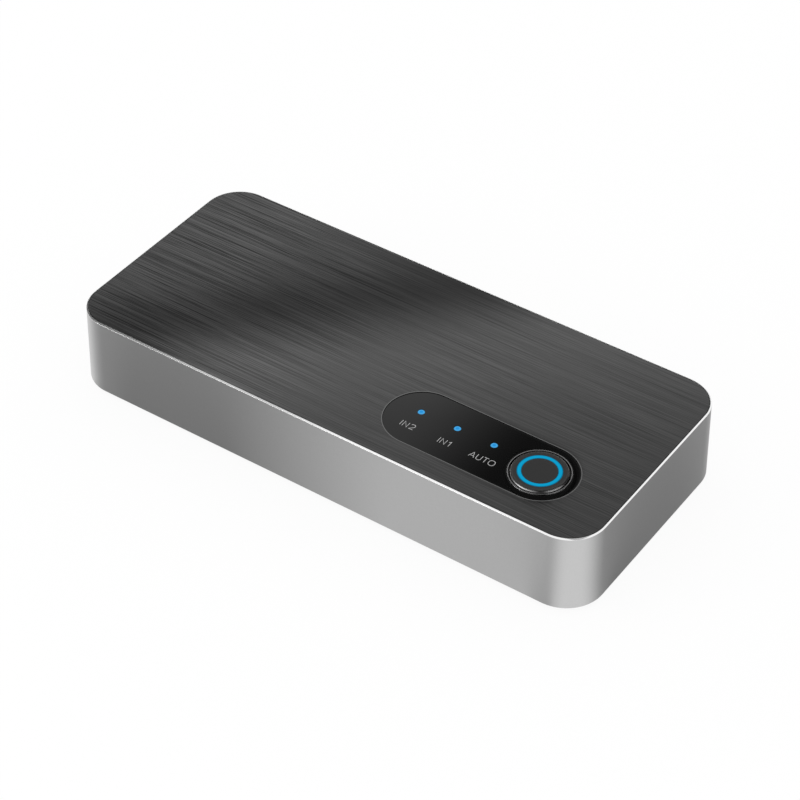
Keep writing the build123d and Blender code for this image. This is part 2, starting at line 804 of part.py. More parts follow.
with BuildPart() as switch_terminals:
    for angle in (0, 180):
        with BuildSketch(*row_planes(button_x, button_y, angle, switch_width / 2, 2, terminal_spread)):
            with Locations((0, terminal_rise)):
                Rectangle(terminal_thickness, terminal_rise + leg_reach, align=(Align.MIN, Align.MAX))
                Rectangle(terminal_bed, terminal_thickness, align=(Align.MAX, Align.MAX))
        extrude(amount=terminal_width / 2, both=True)
finish(switch_terminals, "switch_terminals")

with BuildPart() as switch_dome:
    with BuildSketch(turning_plane(button_x, button_y)):
        with BuildLine():
            Polyline(
                (dome_radius, switch_floor),
                (dome_crown, switch_floor + dome_height),
                (0, switch_floor + dome_height),
                (0, switch_floor + dome_height - dome_thickness),
                (dome_crown - dome_thickness, switch_floor + dome_height - dome_thickness),
                (dome_radius - 2 * dome_thickness, switch_floor),
                close=True,
            )
        make_face()
    revolve(axis=turning_axis(button_x, button_y))
finish(switch_dome, "switch_dome")

with BuildPart() as switch_plunger:
    with BuildSketch(Plane.XY.offset(plunger_bottom)):
        with Locations((button_x, button_y)):
            Circle(plunger_radius + plunger_flange_width)
    extrude(amount=plunger_flange_thickness)
    with BuildSketch(Plane.XY.offset(plunger_bottom)):
        with Locations((button_x, button_y)):
            Circle(plunger_radius)
    extrude(amount=plunger_top - plunger_bottom)
finish(switch_plunger, "switch_plunger")

with BuildPart() as switch_cover:
    with BuildSketch(Plane.XY.offset(base_top)):
        with Locations((button_x, button_y)):
            Rectangle(switch_width, switch_width)
            Circle(plunger_radius + slip_gap, mode=Mode.SUBTRACT)
    extrude(amount=switch_cover_thickness)
    with BuildSketch(Plane.XY.offset(cover_plate_top)):
        with Locations((button_x, button_y)):
            with GridLocations(0, switch_width + switch_cover_thickness, 1, 2):
                Rectangle(switch_width / 2, switch_cover_thickness)
    extrude(amount=-switch_base_height / 2)
finish(switch_cover, "switch_cover")

# Lamps: a lens on a small base, one under each light pipe and two beside the tact switch
ring_lamp_reach = switch_width / 2 + ring_lamp_gap + lamp_width / 2
lamp_groups = {f"lamp_{name}": [place] for name, place in zip(lamp_names, lamp_places)}
lamp_groups["ring_lamps"] = [
    (button_x, button_y - ring_lamp_reach),
    (button_x, button_y + ring_lamp_reach),
]
for name, places in lamp_groups.items():
    with BuildPart() as lamps:
        with BuildSketch(Plane.XY.offset(board_top)):
            with Locations(*places):
                Rectangle(lamp_length, lamp_width)
        extrude(amount=lamp_base_height)
        with BuildSketch(Plane.XY.offset(board_top)):
            with Locations(*places):
                Rectangle(lamp_length - 2 * lamp_lens_inset, lamp_width)
        extrude(amount=lamp_height)
    finish(lamps, name)

# Places of the parts on the board, in rows in front of the sockets
tail_y = mouth_y - socket_depth - tail_reach
array_y = tail_y - part_gap - array_width / 2
row_back = array_y - array_width / 2 - part_gap
chip_size = chip_lead_count * lead_pitch + 2 * chip_corner
chip_x = socket_x["in1"]
chip_y = row_back - lead_reach - chip_size / 2
controller_length = controller_lead_count * lead_pitch + 2 * controller_corner
controller_x = socket_x["out"]
controller_y = row_back - lead_reach - controller_width / 2
regulator_y = mouth_y - power_depth - tail_reach - part_gap - lead_reach - regulator_width / 2
crystal_x = chip_x + chip_size / 2 + lead_reach + part_gap + crystal_width / 2
capacitor_y = chip_y - chip_size / 2 - lead_reach - part_gap - capacitor_length / 2
can_x = -body_length / 2 + can_from_end + can_pitch / 2
can_y = -body_width / 2 + can_from_front

# Chips: moulded bodies that stand a little above the board on their bent leads
chip_lead = bent_lead(chip_lift + (chip_height - lead_thickness) / 2)
chips = {
    "switch_chip": (chip_x, chip_y, chip_size, chip_size, (0, 90, 180, 270), chip_lead_count),
    "controller_chip": (
        controller_x, controller_y, controller_length, controller_width, (90, 270), controller_lead_count,
    ),
}
for name, (x, y, length, width, angles, count) in chips.items():
    with BuildPart() as chip:
        with BuildSketch(Plane.XY.offset(board_top + chip_lift)):
            with Locations((x, y)):
                Rectangle(length, width)
        extrude(amount=chip_height)
        chamfer(chip.faces().sort_by(Axis.Z)[-1].edges(), chip_edge)
    finish(chip, name)

    with BuildPart() as leads:
        for angle in angles:
            with BuildSketch(*row_planes(x, y, angle, width / 2, count, lead_pitch)):
                add(chip_lead)
            extrude(amount=lead_width / 2, both=True)
    finish(leads, f"{name}_leads")

with BuildPart() as voltage_regulator:
    with BuildSketch(Plane.XY.offset(board_top + chip_lift)):
        with Locations((power_x, regulator_y)):
            Rectangle(regulator_length, regulator_width)
    extrude(amount=regulator_height)
    chamfer(voltage_regulator.faces().sort_by(Axis.Z)[-1].edges(), chip_edge)
    with BuildSketch(*row_planes(power_x, regulator_y, -90, regulator_width / 2, 3, regulator_lead_pitch)):
        add(chip_lead)
    extrude(amount=regulator_lead_width / 2, both=True)
    with BuildSketch(*row_planes(power_x, regulator_y, 90, regulator_width / 2)):
        add(chip_lead)
    extrude(amount=regulator_lead_pitch / 2, both=True)
finish(voltage_regulator, "voltage_regulator")

with BuildPart() as crystal:
    with BuildSketch(Plane.XY.offset(board_top)) as crystal_outline:
        with Locations((crystal_x, chip_y)):
            Rectangle(crystal_width, crystal_length)
        chamfer(crystal_outline.vertices(), crystal_corner)
    extrude(amount=crystal_height)
finish(crystal, "crystal")

with BuildPart() as electrolytic_capacitors:
    with BuildSketch(Plane.XY.offset(board_top)) as can_bases:
        with Locations((can_x, can_y)):
            with GridLocations(can_pitch, 0, can_count, 1):
                Rectangle(can_base, can_base)
        chamfer(can_bases.vertices().group_by(Axis.Y)[0], can_base_corner)
    extrude(amount=can_base_height)
    with BuildSketch(Plane.XY.offset(board_top)):
        with Locations((can_x, can_y)):
            with GridLocations(can_pitch, 0, can_count, 1):
                Circle(can_radius)
    extrude(amount=deck_bottom - deck_rib_height - can_head_room - board_top)
finish(electrolytic_capacitors, "electrolytic_capacitors")

with BuildPart() as surge_arrays:
    with BuildSketch(Plane.XY.offset(board_top)):
        for x in socket_x.values():
            with Locations((x, array_y)):
                with GridLocations(array_spread, 0, 2, 1):
                    Rectangle(array_length, array_width)
    extrude(amount=array_height)
finish(surge_arrays, "surge_arrays")

with BuildPart() as chip_capacitors:
    with BuildSketch(Plane.XY.offset(board_top)):
        with Locations((chip_x, capacitor_y)):
            with GridLocations(capacitor_pitch, 0, capacitor_count, 1):
                Rectangle(capacitor_width, capacitor_length)
    extrude(amount=capacitor_height)
finish(chip_capacitors, "chip_capacitors")
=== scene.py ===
# %% [markdown]
# # A video switch box, dressed for its portrait
#
# The object is a flat two-into-one switch box: a satin silver case, a dark brushed plate let into its
# top, and in that plate a glossy black panel with three lamps and a round, lit push button. The frame
# already holds every piece at its real size. This script keeps those places and gives each piece that
# shows the fine edges and the finish that a plain solid lacks.

# %% The frame comes first
import json
from math import cos, pi, radians, sin, tan

import bmesh
import bpy
from mathutils import Matrix, Vector


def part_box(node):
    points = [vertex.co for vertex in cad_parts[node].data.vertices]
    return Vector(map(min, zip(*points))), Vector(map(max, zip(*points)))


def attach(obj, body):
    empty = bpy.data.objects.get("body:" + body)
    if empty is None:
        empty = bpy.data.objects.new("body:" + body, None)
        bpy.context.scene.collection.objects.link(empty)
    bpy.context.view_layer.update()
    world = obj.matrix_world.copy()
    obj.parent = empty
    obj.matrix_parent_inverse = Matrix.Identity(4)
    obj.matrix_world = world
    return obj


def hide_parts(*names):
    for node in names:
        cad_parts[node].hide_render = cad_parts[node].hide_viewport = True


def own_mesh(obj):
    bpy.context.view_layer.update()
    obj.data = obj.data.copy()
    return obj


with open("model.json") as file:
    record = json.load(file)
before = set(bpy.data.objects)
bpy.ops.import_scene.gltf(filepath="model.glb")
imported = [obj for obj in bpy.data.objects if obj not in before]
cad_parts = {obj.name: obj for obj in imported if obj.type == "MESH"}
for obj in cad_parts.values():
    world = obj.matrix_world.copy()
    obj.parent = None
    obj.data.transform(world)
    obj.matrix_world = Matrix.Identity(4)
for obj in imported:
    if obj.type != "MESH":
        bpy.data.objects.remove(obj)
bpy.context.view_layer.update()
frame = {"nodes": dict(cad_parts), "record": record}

mm = 0.001


def middle(node):
    """The middle of a node's box."""
    low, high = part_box(node)
    return (low + high) / 2


def reach(node):
    """Half the width of a node."""
    low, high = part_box(node)
    return (high.x - low.x) / 2


print("half the case, mm:", round(reach("upper_housing") / mm, 2))

# %% [markdown]
# ## Camera
#
# The photograph was taken from the front right, a little over 40 degrees above the table, with a
# long lens: the case's far edges close in only slightly. A camera could be aimed by eye, but the edges
# of a box give its place exactly, so these values come from matching the outline of the case. The
# small slide puts the box where it sits in the picture, and keeps the lens shift at zero.

# %% Camera at the photograph's viewing angle
azimuth = radians(34.452)
elevation = radians(40.996)
roll = radians(0.338)
distance = 411.09 * mm
slide_right = -1.338 * mm
slide_up = -2.913 * mm
sensor = 36.0
picture_width = 800
focal_pixels = 2457.7

back = Vector((sin(azimuth) * cos(elevation), -cos(azimuth) * cos(elevation), sin(elevation)))
level_right = Vector((cos(azimuth), sin(azimuth), 0))
level_up = back.cross(level_right)
right = level_right * cos(roll) + level_up * sin(roll)
up = level_up * cos(roll) - level_right * sin(roll)
case_foot = Vector((0, 0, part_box("upper_housing")[0].z))

camera = bpy.data.objects.new("camera", bpy.data.cameras.new("camera"))
camera.data.sensor_width = sensor
camera.data.lens = sensor * focal_pixels / picture_width
camera.location = case_foot + back * distance - right * slide_right - up * slide_up
camera.rotation_euler = Matrix((right, up, back)).transposed().to_euler()
bpy.context.scene.collection.objects.link(camera)
bpy.context.scene.camera = camera
bpy.context.view_layer.update()
print("camera, mm:", [round(c / mm, 1) for c in camera.location], "lens:", round(camera.data.lens, 2))

# %% [markdown]
# ## Helpers for shapes
#
# Nearly every piece of this product is a flat outline with some thickness: a rounded rectangle, a
# stadium, a circle. Blender could make them from primitives and bevels, but then each corner radius
# would be an accident of the bevel. Here an outline is a polygon whose corners are rounded by a known
# radius, and it can be grown by a known amount, as a toolmaker offsets a contour. A circle is a square
# whose corners are rounded all the way. Outlines stacked at different heights make a solid.

# %% Outlines: rectangles, growth and rounded corners
same_point = 0.00001 * mm


def rectangle(low, high):
    """Corners of a rectangle, anticlockwise, from its lowest and highest corner."""
    return [Vector((low[0], low[1])), Vector((high[0], low[1])), Vector((high[0], high[1])),
            Vector((low[0], high[1]))]


def rectangle_about(centre, length, width):
    """Corners of a rectangle round a place."""
    half = Vector((length / 2, width / 2))
    spot = Vector((centre[0], centre[1]))
    return rectangle(spot - half, spot + half)


def grown(points, amount):
    """An anticlockwise outline moved outwards by an amount, or inwards by a negative one."""
    moved = []
    for i, point in enumerate(points):
        before = (point - points[i - 1]).normalized()
        after = (points[(i + 1) % len(points)] - point).normalized()
        out_before = Vector((before.y, -before.x))
        out_after = Vector((after.y, -after.x))
        moved.append(point + (out_before + out_after) * amount / (1 + out_before.dot(out_after)))
    return moved


def rounded(points, radii, closed=True, steps=8):
    """A path with an arc in place of each corner. Radii is one number or a list, one per point."""
    path = []
    count = len(points)
    for i, point in enumerate(points):
        radius = radii[i] if isinstance(radii, (list, tuple)) else radii
        if not closed and i in (0, count - 1):
            path.append(point.copy())
            continue
        back_way = (points[i - 1] - point).normalized()
        on_way = (points[(i + 1) % count] - point).normalized()
        turn = pi - back_way.angle(on_way)
        cut = radius * tan(turn / 2)
        centre = point + (back_way + on_way).normalized() * (radius / cos(turn / 2))
        start = point + back_way * cut - centre
        side = 1 if back_way.cross(on_way) < 0 else -1
        for step in range(steps + 1):
            angle = side * turn * step / steps
            path.append(centre + Matrix.Rotation(angle, 2) @ start)
    return [p for p, following in zip(path, path[1:] + path[:1]) if (p - following).length > same_point]


def circle(centre, radius, steps=24):
    """A round outline: a square whose corners are rounded all the way."""
    return rounded(rectangle_about(centre, 2 * radius, 2 * radius), radius, steps=steps)


print("points round a circle:", len(circle((0, 0), 5 * mm)))

# %% [markdown]
# ## From outlines to pieces
#
# Two kinds of solid are enough. A loft joins outlines with equally many points into a skin, closed at
# its ends or running back into its start. A plate is filled between an outer outline and the holes in
# it, with softened edges. Both are made in mesh code, so that there is no stray face inside. A
# weighted-normal modifier then keeps flat faces flat in shading while the narrow edges look round.

# %% Lofts and plates
def at(outline, height):
    """An outline as a loop of points in space, at a height."""
    return [Vector((p[0], p[1], height)) for p in outline]


def skin(mesh, lower, upper):
    """Adds the faces between two rows of equally many points."""
    for i in range(len(lower)):
        j = (i + 1) % len(lower)
        mesh.faces.new((lower[i], lower[j], upper[j], upper[i]))


def loft(mesh, loops, ring=False):
    """Adds a skin through loops of equally many points. A ring closes on itself, else the ends are filled."""
    rows = [[mesh.verts.new(p) for p in loop] for loop in loops]
    pairs = list(zip(rows, rows[1:]))
    if ring:
        pairs.append((rows[-1], rows[0]))
    else:
        mesh.faces.new(list(reversed(rows[0])))
        mesh.faces.new(rows[-1])
    for lower, upper in pairs:
        skin(mesh, lower, upper)


def edge_stations(low, high, softness, steps=2):
    """Growth and height of a contour from its foot up, over a softened edge and a little way inwards."""
    section = [Vector((0, low)), Vector((0, high)), Vector((-2 * softness, high))]
    return rounded(section, softness, closed=False, steps=steps)


def plate(mesh, contours, low, high):
    """Adds a plate between an outer contour and its holes. Each contour is its corner points, the
    radius of its corners, the steps of each corner and the stations of its side from the foot up."""
    levels = {low: [], high: []}
    for i, (points, radius, corner_steps, stations) in enumerate(contours):
        side = -1 if i else 1
        rows = []
        for growth, height in stations:
            outline = rounded(grown(points, side * growth), radius + side * growth, steps=corner_steps)
            rows.append([mesh.verts.new(p) for p in at(outline, height)])
        for lower, upper in zip(rows, rows[1:]):
            skin(mesh, lower, upper)
        for height, row in ((low, rows[0]), (high, rows[-1])):
            levels[height] += [mesh.edges.get((row[j - 1], row[j])) for j in range(len(row))]
    for edges in levels.values():
        bmesh.ops.triangle_fill(mesh, use_beauty=True, edges=edges)


print("stations of a softened edge:", len(edge_stations(0, 1 * mm, 0.1 * mm)))

# %% Pieces
sharp_angle = 50  # degrees between two faces, from which their edge is shaded as sharp


def placed(name, mesh):
    """Mesh code as an object of the scene, with every face turned outwards."""
    bmesh.ops.recalc_face_normals(mesh, faces=mesh.faces)
    data = bpy.data.meshes.new(name)
    mesh.to_mesh(data)
    mesh.free()
    made = bpy.data.objects.new(name, data)
    bpy.context.scene.collection.objects.link(made)
    return made


def piece(name, mesh, body, materials, stands_for=()):
    """Turns mesh code into a named piece with its finishes, body and the nodes it stands for."""
    made = placed(name, mesh)
    for material in materials:
        made.data.materials.append(material)
    for face in made.data.polygons:
        face.use_smooth = True
    made.data.set_sharp_from_angle(angle=radians(sharp_angle))
    shading = made.modifiers.new("weighted normals", "WEIGHTED_NORMAL")
    shading.keep_sharp = True
    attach(made, body)
    if stands_for:
        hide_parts(*stands_for)
    print(name, "faces:", len(made.data.polygons))
    return made


print("edges are sharp from, degrees:", sharp_angle)

# %% [markdown]
# ## Helpers for materials
#
# A finish is more than a colour: it is how the surface was made. Each material below starts from its
# real name and process, uses typical values for index of refraction and roughness, and then gets the
# variation that the process leaves. Colours are written as sRGB hex values, as they are read off a
# screen, and one function turns them into the linear values that Blender computes with.

# %% Colours and nodes
mix_first, mix_second, mix_result = 6, 7, 2  # the colour sockets of a Mix node


def linear(hex_colour):
    """An sRGB hex colour as linear red, green, blue and alpha."""
    channels = [int(hex_colour[i:i + 2], 16) / 255 for i in (1, 3, 5)]
    return [c / 12.92 if c <= 0.04045 else ((c + 0.055) / 1.055) ** 2.4 for c in channels] + [1]


def add(tree, kind, settings, links=None):
    """Adds one node, sets its properties and sockets, and links its inputs to other nodes' outputs."""
    made = tree.nodes.new(kind)
    for key, value in settings.items():
        if isinstance(key, str) and hasattr(made, key):
            setattr(made, key, value)
        else:
            made.inputs[key].default_value = value
    for key, source in (links or {}).items():
        tree.links.new(source, made.inputs[key])
    return made


def finish(name, **sockets):
    """A new material and its shader, with constants set on the shader's own sockets."""
    material = bpy.data.materials.new(name)
    material.use_nodes = True
    shader = material.node_tree.nodes["Principled BSDF"]
    for key, value in sockets.items():
        shader.inputs[key.replace("_", " ")].default_value = value
    return material, material.node_tree, shader


print("mid grey, linear:", round(linear("#808080")[0], 3))

# %% [markdown]
# ## Two recipes
#
# Most surfaces here need one of two variations. Blasted, moulded and plated ones have a base colour that
# wanders a little between two close tones, and a shallow grain of the size that their process leaves.
# Cut and polished ones have a single colour and no grain that could be seen, but their roughness
# changes slowly from place to place. A photograph of each surface would do it too, but numbers in real
# millimetres can be checked against the real thing.

# %% Finishes with a fine grain, and finishes of uneven roughness
def grained(name, light, dark, grain_size, grain_depth, strength=0.4, **sockets):
    """A finish whose colour wanders between two tones, with a grain of this size and depth."""
    material, tree, shader = finish(name, **sockets)
    place = add(tree, "ShaderNodeTexCoord", {})
    grain = add(tree, "ShaderNodeTexNoise", {"Scale": 1 / grain_size, "Detail": 3.0},
                {"Vector": place.outputs["Object"]})
    tone = add(tree, "ShaderNodeMix",
               {"data_type": "RGBA", mix_first: linear(dark), mix_second: linear(light)},
               {0: grain.outputs["Fac"]})
    relief = add(tree, "ShaderNodeBump", {"Strength": strength, "Distance": grain_depth},
                 {"Height": grain.outputs["Fac"]})
    tree.links.new(tone.outputs[mix_result], shader.inputs["Base Color"])
    tree.links.new(relief.outputs["Normal"], shader.inputs["Normal"])
    return material


def uneven(name, colour, mark_size, smoothest, roughest, detail=2.0, **sockets):
    """A finish in one colour, whose roughness wanders between two values over marks of this size."""
    material, tree, shader = finish(name, Base_Color=linear(colour), **sockets)
    place = add(tree, "ShaderNodeTexCoord", {})
    marks = add(tree, "ShaderNodeTexNoise", {"Scale": 1 / mark_size, "Detail": detail},
                {"Vector": place.outputs["Object"]})
    spread = add(tree, "ShaderNodeMapRange", {"To Min": smoothest, "To Max": roughest},
                 {"Value": marks.outputs["Fac"]})
    tree.links.new(spread.outputs["Result"], shader.inputs["Roughness"])
    return material


# %% [markdown]
# ## Satin die-cast aluminium
#
# The case is cast, blasted with fine beads and clear anodised. That gives the eye a soft silver that
# takes up broad lights and darks without mirroring anything. The bead marks are about 0.08 mm across,
# too fine to show here, so the grain is drawn 0.25 mm wide and very shallow.

# %% Case finish
satin_grain = 0.25 * mm
satin_depth = 0.001 * mm
satin_metal = grained("satin_aluminium", "#cacaca", "#c2c2c2", satin_grain, satin_depth, strength=0.35,
                      Metallic=1.0, Roughness=0.36)
print("satin grain, mm:", satin_grain / mm)

# %% [markdown]
# ## Bright-cut aluminium
#
# After anodising, a diamond tool runs round the top edge and takes off a narrow chamfer. The fresh
# metal is nearly a mirror, so the edge is either white or dark, whatever it happens to face. Its faint
# tool marks run along the cut and are far too fine to see, so a slow change of roughness stands for them.
# The lip inside the bright edge is painted nearly black: a painted shadow for the gap between the case
# and its top plate.

# %% Finishes of the cut edge, and the painted shadow of the lip inside it
cut_marks = 4 * mm
bright_metal = uneven("bright_cut_aluminium", "#f5f5f5", cut_marks, 0.08, 0.14, Metallic=1.0)
# painted shadow: the lip is nearly black to stand for the shade between the case and its top plate
painted_shadow_metal = uneven("lip_painted_shadow", "#202020", cut_marks, 0.25, 0.35, Metallic=1.0)
print("materials so far:", len(bpy.data.materials))

# %% [markdown]
# ## Brushed, dark anodised aluminium
#
# The top plate is rolled sheet, drawn past an abrasive belt and then dyed nearly black. The belt leaves
# scratches along the box, some 10 to 30 mm long. Real ones are about 0.05 mm wide and would vanish at
# this distance, so they are drawn 0.15 mm wide. Two noises stretched along the box make fine scratches
# and broader streaks, both fainter towards the right, where the belt pressed less. The scratches also
# spread reflections across the grain and not along it, which the shader calls anisotropy. It needs a
# direction, and that comes from a plain flat unwrapping.

# %% Brushed finish
scratch_length = 26 * mm
scratch_width = 0.15 * mm
scratch_depth = 0.002 * mm
streak_length = 60 * mm
streak_width = 1.4 * mm
streak_share = 0.2
scratch_dark, scratch_light, calm_tone = "#202020", "#7e7e7e", "#575757"
calm_start, calm_end = -32 * mm, -4 * mm

brushed_metal, tree, shader = finish("brushed_anodised_aluminium", Metallic=1.0, Roughness=0.32,
                                     Anisotropic=0.65, Anisotropic_Rotation=0.25)
place = add(tree, "ShaderNodeTexCoord", {})
thin = add(tree, "ShaderNodeMapping", {"Scale": (1 / scratch_length, 1 / scratch_width, 1)},
           {"Vector": place.outputs["Object"]})
broad = add(tree, "ShaderNodeMapping", {"Scale": (1 / streak_length, 1 / streak_width, 1)},
            {"Vector": place.outputs["Object"]})
scratches = add(tree, "ShaderNodeTexNoise", {"Scale": 1.0, "Detail": 4.0, "Roughness": 0.75},
                {"Vector": thin.outputs["Vector"]})
streaks = add(tree, "ShaderNodeTexNoise", {"Scale": 1.0, "Detail": 3.0},
              {"Vector": broad.outputs["Vector"]})
both = add(tree, "ShaderNodeMath", {"operation": "MULTIPLY_ADD", 1: streak_share},
           {0: streaks.outputs["Fac"], 2: scratches.outputs["Fac"]})
depth = add(tree, "ShaderNodeMapRange", {"From Min": 0.45, "From Max": 0.75},
            {"Value": both.outputs["Value"]})
shade = add(tree, "ShaderNodeMix",
            {"data_type": "RGBA", mix_first: linear(scratch_dark), mix_second: linear(scratch_light)},
            {0: depth.outputs["Result"]})
across_plate = add(tree, "ShaderNodeSeparateXYZ", {}, {"Vector": place.outputs["Object"]})
strength = add(tree, "ShaderNodeMapRange",
               {"From Min": calm_start, "From Max": calm_end, "To Min": 1.0, "To Max": 0.4},
               {"Value": across_plate.outputs["X"]})
calmed = add(tree, "ShaderNodeMix", {"data_type": "RGBA", mix_first: linear(calm_tone)},
             {0: strength.outputs["Result"], mix_second: shade.outputs[mix_result]})
relief = add(tree, "ShaderNodeBump", {"Strength": 0.5, "Distance": scratch_depth},
             {"Height": scratches.outputs["Fac"]})
grain_way = add(tree, "ShaderNodeTangent", {"direction_type": "UV_MAP"})
tree.links.new(calmed.outputs[mix_result], shader.inputs["Base Color"])
tree.links.new(relief.outputs["Normal"], shader.inputs["Normal"])
tree.links.new(grain_way.outputs["Tangent"], shader.inputs["Tangent"])
print("scratches, mm:", scratch_length / mm, "by", scratch_width / mm)

# %% [markdown]
# ## Polished black acrylic
#
# The lamp panel is cast acrylic, flame polished and printed from above. It has almost no colour of its
# own: what the eye sees is its surface reflection, a few percent of the room. Fine cleaning marks make
# the reflection very slightly uneven.

# %% Panel finish
wiping_marks = 6 * mm
gloss_acrylic = uneven("black_acrylic", "#0a0a0a", wiping_marks, 0.04, 0.09, detail=4.0, IOR=1.49)
print("wiping marks, mm:", wiping_marks / mm)

# %% [markdown]
# ## Moulded plastics, rubber, plated and printed parts
#
# The smaller pieces share the first recipe. Spark-eroded moulds give plastic a fine matt grain, and
# rubber is softer and rougher. Plating in zinc, nickel, gold or tin leaves a faint ripple and a soft
# shine, epoxy and fired ceramic are dull, and the lamps' clear resin is glossy. Only the numbers differ,
# so they stand in one list. The etched edge of the plate's opening is here too: pickling leaves a grey
# oxide on the aluminium that scatters light like a matt paint, so it has no metallic reflection.

# %% The smaller pieces' finishes
# Name, light and dark tone, width and depth of the grain in mm, roughness, and the index of refraction,
# which is left out for a metal
grains = [
    ("matt_abs", "#383838", "#323232", 0.2, 0.004, 0.42, 1.53),
    ("textured_abs", "#1f1f1f", "#191919", 0.35, 0.02, 0.55, 1.53),
    ("silicone_rubber", "#161616", "#101010", 0.3, 0.01, 0.75, 1.42),
    ("polished_steel", "#bababa", "#b0b0b0", 0.4, 0.001, 0.22, None),
    ("smoked_chrome", "#b8b8b8", "#b0b0b0", 0.6, 0.001, 0.36, None),
    ("etched_aluminium", "#626262", "#5c5c5c", 0.2, 0.004, 0.6, 1.6),
    ("zinc_plated_steel", "#c4c6c4", "#aeb0ae", 0.5, 0.004, 0.35, None),
    ("solder_mask", "#1d4d2f", "#174026", 0.8, 0.01, 0.35, 1.55),
    ("nickel_plated_steel", "#cfccc4", "#c0bdb6", 1.2, 0.003, 0.24, None),
    ("gold_plated_bronze", "#e2bd62", "#d6ae52", 0.6, 0.002, 0.22, None),
    ("glass_filled_nylon", "#151515", "#0f0f0f", 0.3, 0.006, 0.5, 1.53),
    ("moulded_epoxy", "#252525", "#1e1e1e", 0.15, 0.004, 0.6, 1.55),
    ("tinned_copper", "#d4d4d0", "#c4c4c0", 0.4, 0.004, 0.3, None),
    ("drawn_aluminium", "#d0d0d0", "#c6c6c6", 0.5, 0.002, 0.3, None),
    ("fired_ceramic", "#b89c78", "#a68a68", 0.2, 0.004, 0.5, 1.6),
    ("clear_resin", "#dfe8ee", "#d2dde6", 0.5, 0.001, 0.12, 1.54),
]
finishes = {}
for name, light, dark, size, depth, roughness, index in grains:
    kind = {"IOR": index} if index else {"Metallic": 1.0}
    finishes[name] = grained(name, light, dark, size * mm, depth * mm, Roughness=roughness, **kind)
print("finishes of the smaller pieces:", len(finishes))

# %% [markdown]
# ## Lit light guides
#
# The ring in the button and the tips of the light pipes are clear polycarbonate, lit from inside by
# blue lamps. The light fills the plastic evenly, so the surface glows at one level instead of being
# shaded by the room. The base is therefore nearly black and the colour is emitted. The surface is matt
# enough to hide the room's reflection. At its very edges the glow falls off, where the black parts
# round it cut the light, so the colour is planned along the radius.

# %% Glowing plastic
def glowing(name, half_width, stops):
    """Plastic that glows in the colours of its stops of radius and colour, out from its middle. The two
    stops that a new ramp holds, the first and the last along the radius, stand first in the list."""
    material, tree, shader = finish(name, Base_Color=linear("#020a0e"), Roughness=0.5, IOR=1.58,
                                    Emission_Strength=1.0, Specular_IOR_Level=0.04)
    place = add(tree, "ShaderNodeTexCoord", {})
    centred = add(tree, "ShaderNodeVectorMath", {"operation": "SUBTRACT", 1: (0.5, 0.5, 0.5)},
                  {0: place.outputs["Generated"]})
    flat = add(tree, "ShaderNodeVectorMath", {"operation": "MULTIPLY", 1: (2, 2, 0)},
               {0: centred.outputs["Vector"]})
    radius = add(tree, "ShaderNodeVectorMath", {"operation": "LENGTH"}, {0: flat.outputs["Vector"]})
    tone = add(tree, "ShaderNodeValToRGB", {}, {"Fac": radius.outputs["Value"]})
    ramp = tone.color_ramp.elements
    for i, (place_on, colour) in enumerate(stops):
        stop = ramp[i] if i < 2 else ramp.new(place_on / half_width)
        stop.position = place_on / half_width
        stop.color = linear(colour)
    tree.links.new(tone.outputs["Color"], shader.inputs["Emission Color"])
    return material


ring_radius = reach("button_light_guide")
pipe_width = 2 * reach("light_pipe_in1")
tip_radius = 0.57 * mm
ring_glow = glowing("lit_ring", ring_radius, [
    (2.88 * mm, "#0a5f7e"), (ring_radius, "#0a5c7a"), (3 * mm, "#0a9cca"), (3.4 * mm, "#0a9cca")])
lamp_glow = glowing("lit_lamp_tip", pipe_width / 2, [
    (0, "#2590d8"), (tip_radius, "#3a94cc"), (0.26 * mm, "#2a94da"), (0.4 * mm, "#4caae4"),
    (0.5 * mm, "#46a0d8")])
print("glowing finishes:", ring_glow.name, lamp_glow.name)

# %% [markdown]
# ## The case
#
# The case is one casting: leaning walls, a deck under the top plate and openings for the sockets. It
# could be a cube with bevels, but the walls lean by 0.35 mm and the corners have a drawn radius, so it
# is lofted from a section that runs round a rounded rectangle. The section starts on the deck, climbs
# the lip, turns over the bright chamfer, comes down the wall and returns inside. Every corner of the
# section has a small radius, because sharp edges catch no light.

# %% Section of the case
case_low, case_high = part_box("upper_housing")
deck_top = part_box("top_plate")[0].z
wall_lean = 0.35 * mm
corner_radius = 6.5 * mm
corner_steps = 20
lip = 0.3 * mm
chamfer = 0.22 * mm
wall = 1.8 * mm
deck_thickness = 1.4 * mm
edge_softness = 0.05 * mm
foot_softness = 0.18 * mm

case_corners = grown(rectangle(case_low, case_high), -wall_lean)
section = rounded(
    [Vector((-lip, deck_top)), Vector((-lip, case_high.z)), Vector((-chamfer, case_high.z)),
     Vector((0, case_high.z - chamfer)), Vector((wall_lean, case_low.z)), Vector((-wall, case_low.z)),
     Vector((-wall, deck_top - deck_thickness))],
    [0, edge_softness / 2, edge_softness, edge_softness, foot_softness, foot_softness, 0],
    closed=False, steps=4,
)
case_mesh = bmesh.new()
loft(case_mesh, [at(rounded(grown(case_corners, g), corner_radius + g, steps=corner_steps), z)
                 for g, z in section])
print("stations of the section:", len(section))

# %% [markdown]
# ## Inside and openings of the case
#
# Under the deck the casting carries a boss for each screw, tied to the walls by thin gussets, a rib over
# each video socket and a holder for the light pipes. The button and the lamps come up through the deck,
# and the sockets show through the back wall, where the outer edge of each opening is broken by a small
# chamfer, so that a plug finds its way in. It could all be modelled as one skin by hand, but a foundry
# works with blocks: inner blocks are joined on first, then every opening is taken out in one step. A
# cutter that widens towards the outside makes an opening and its chamfer at once.

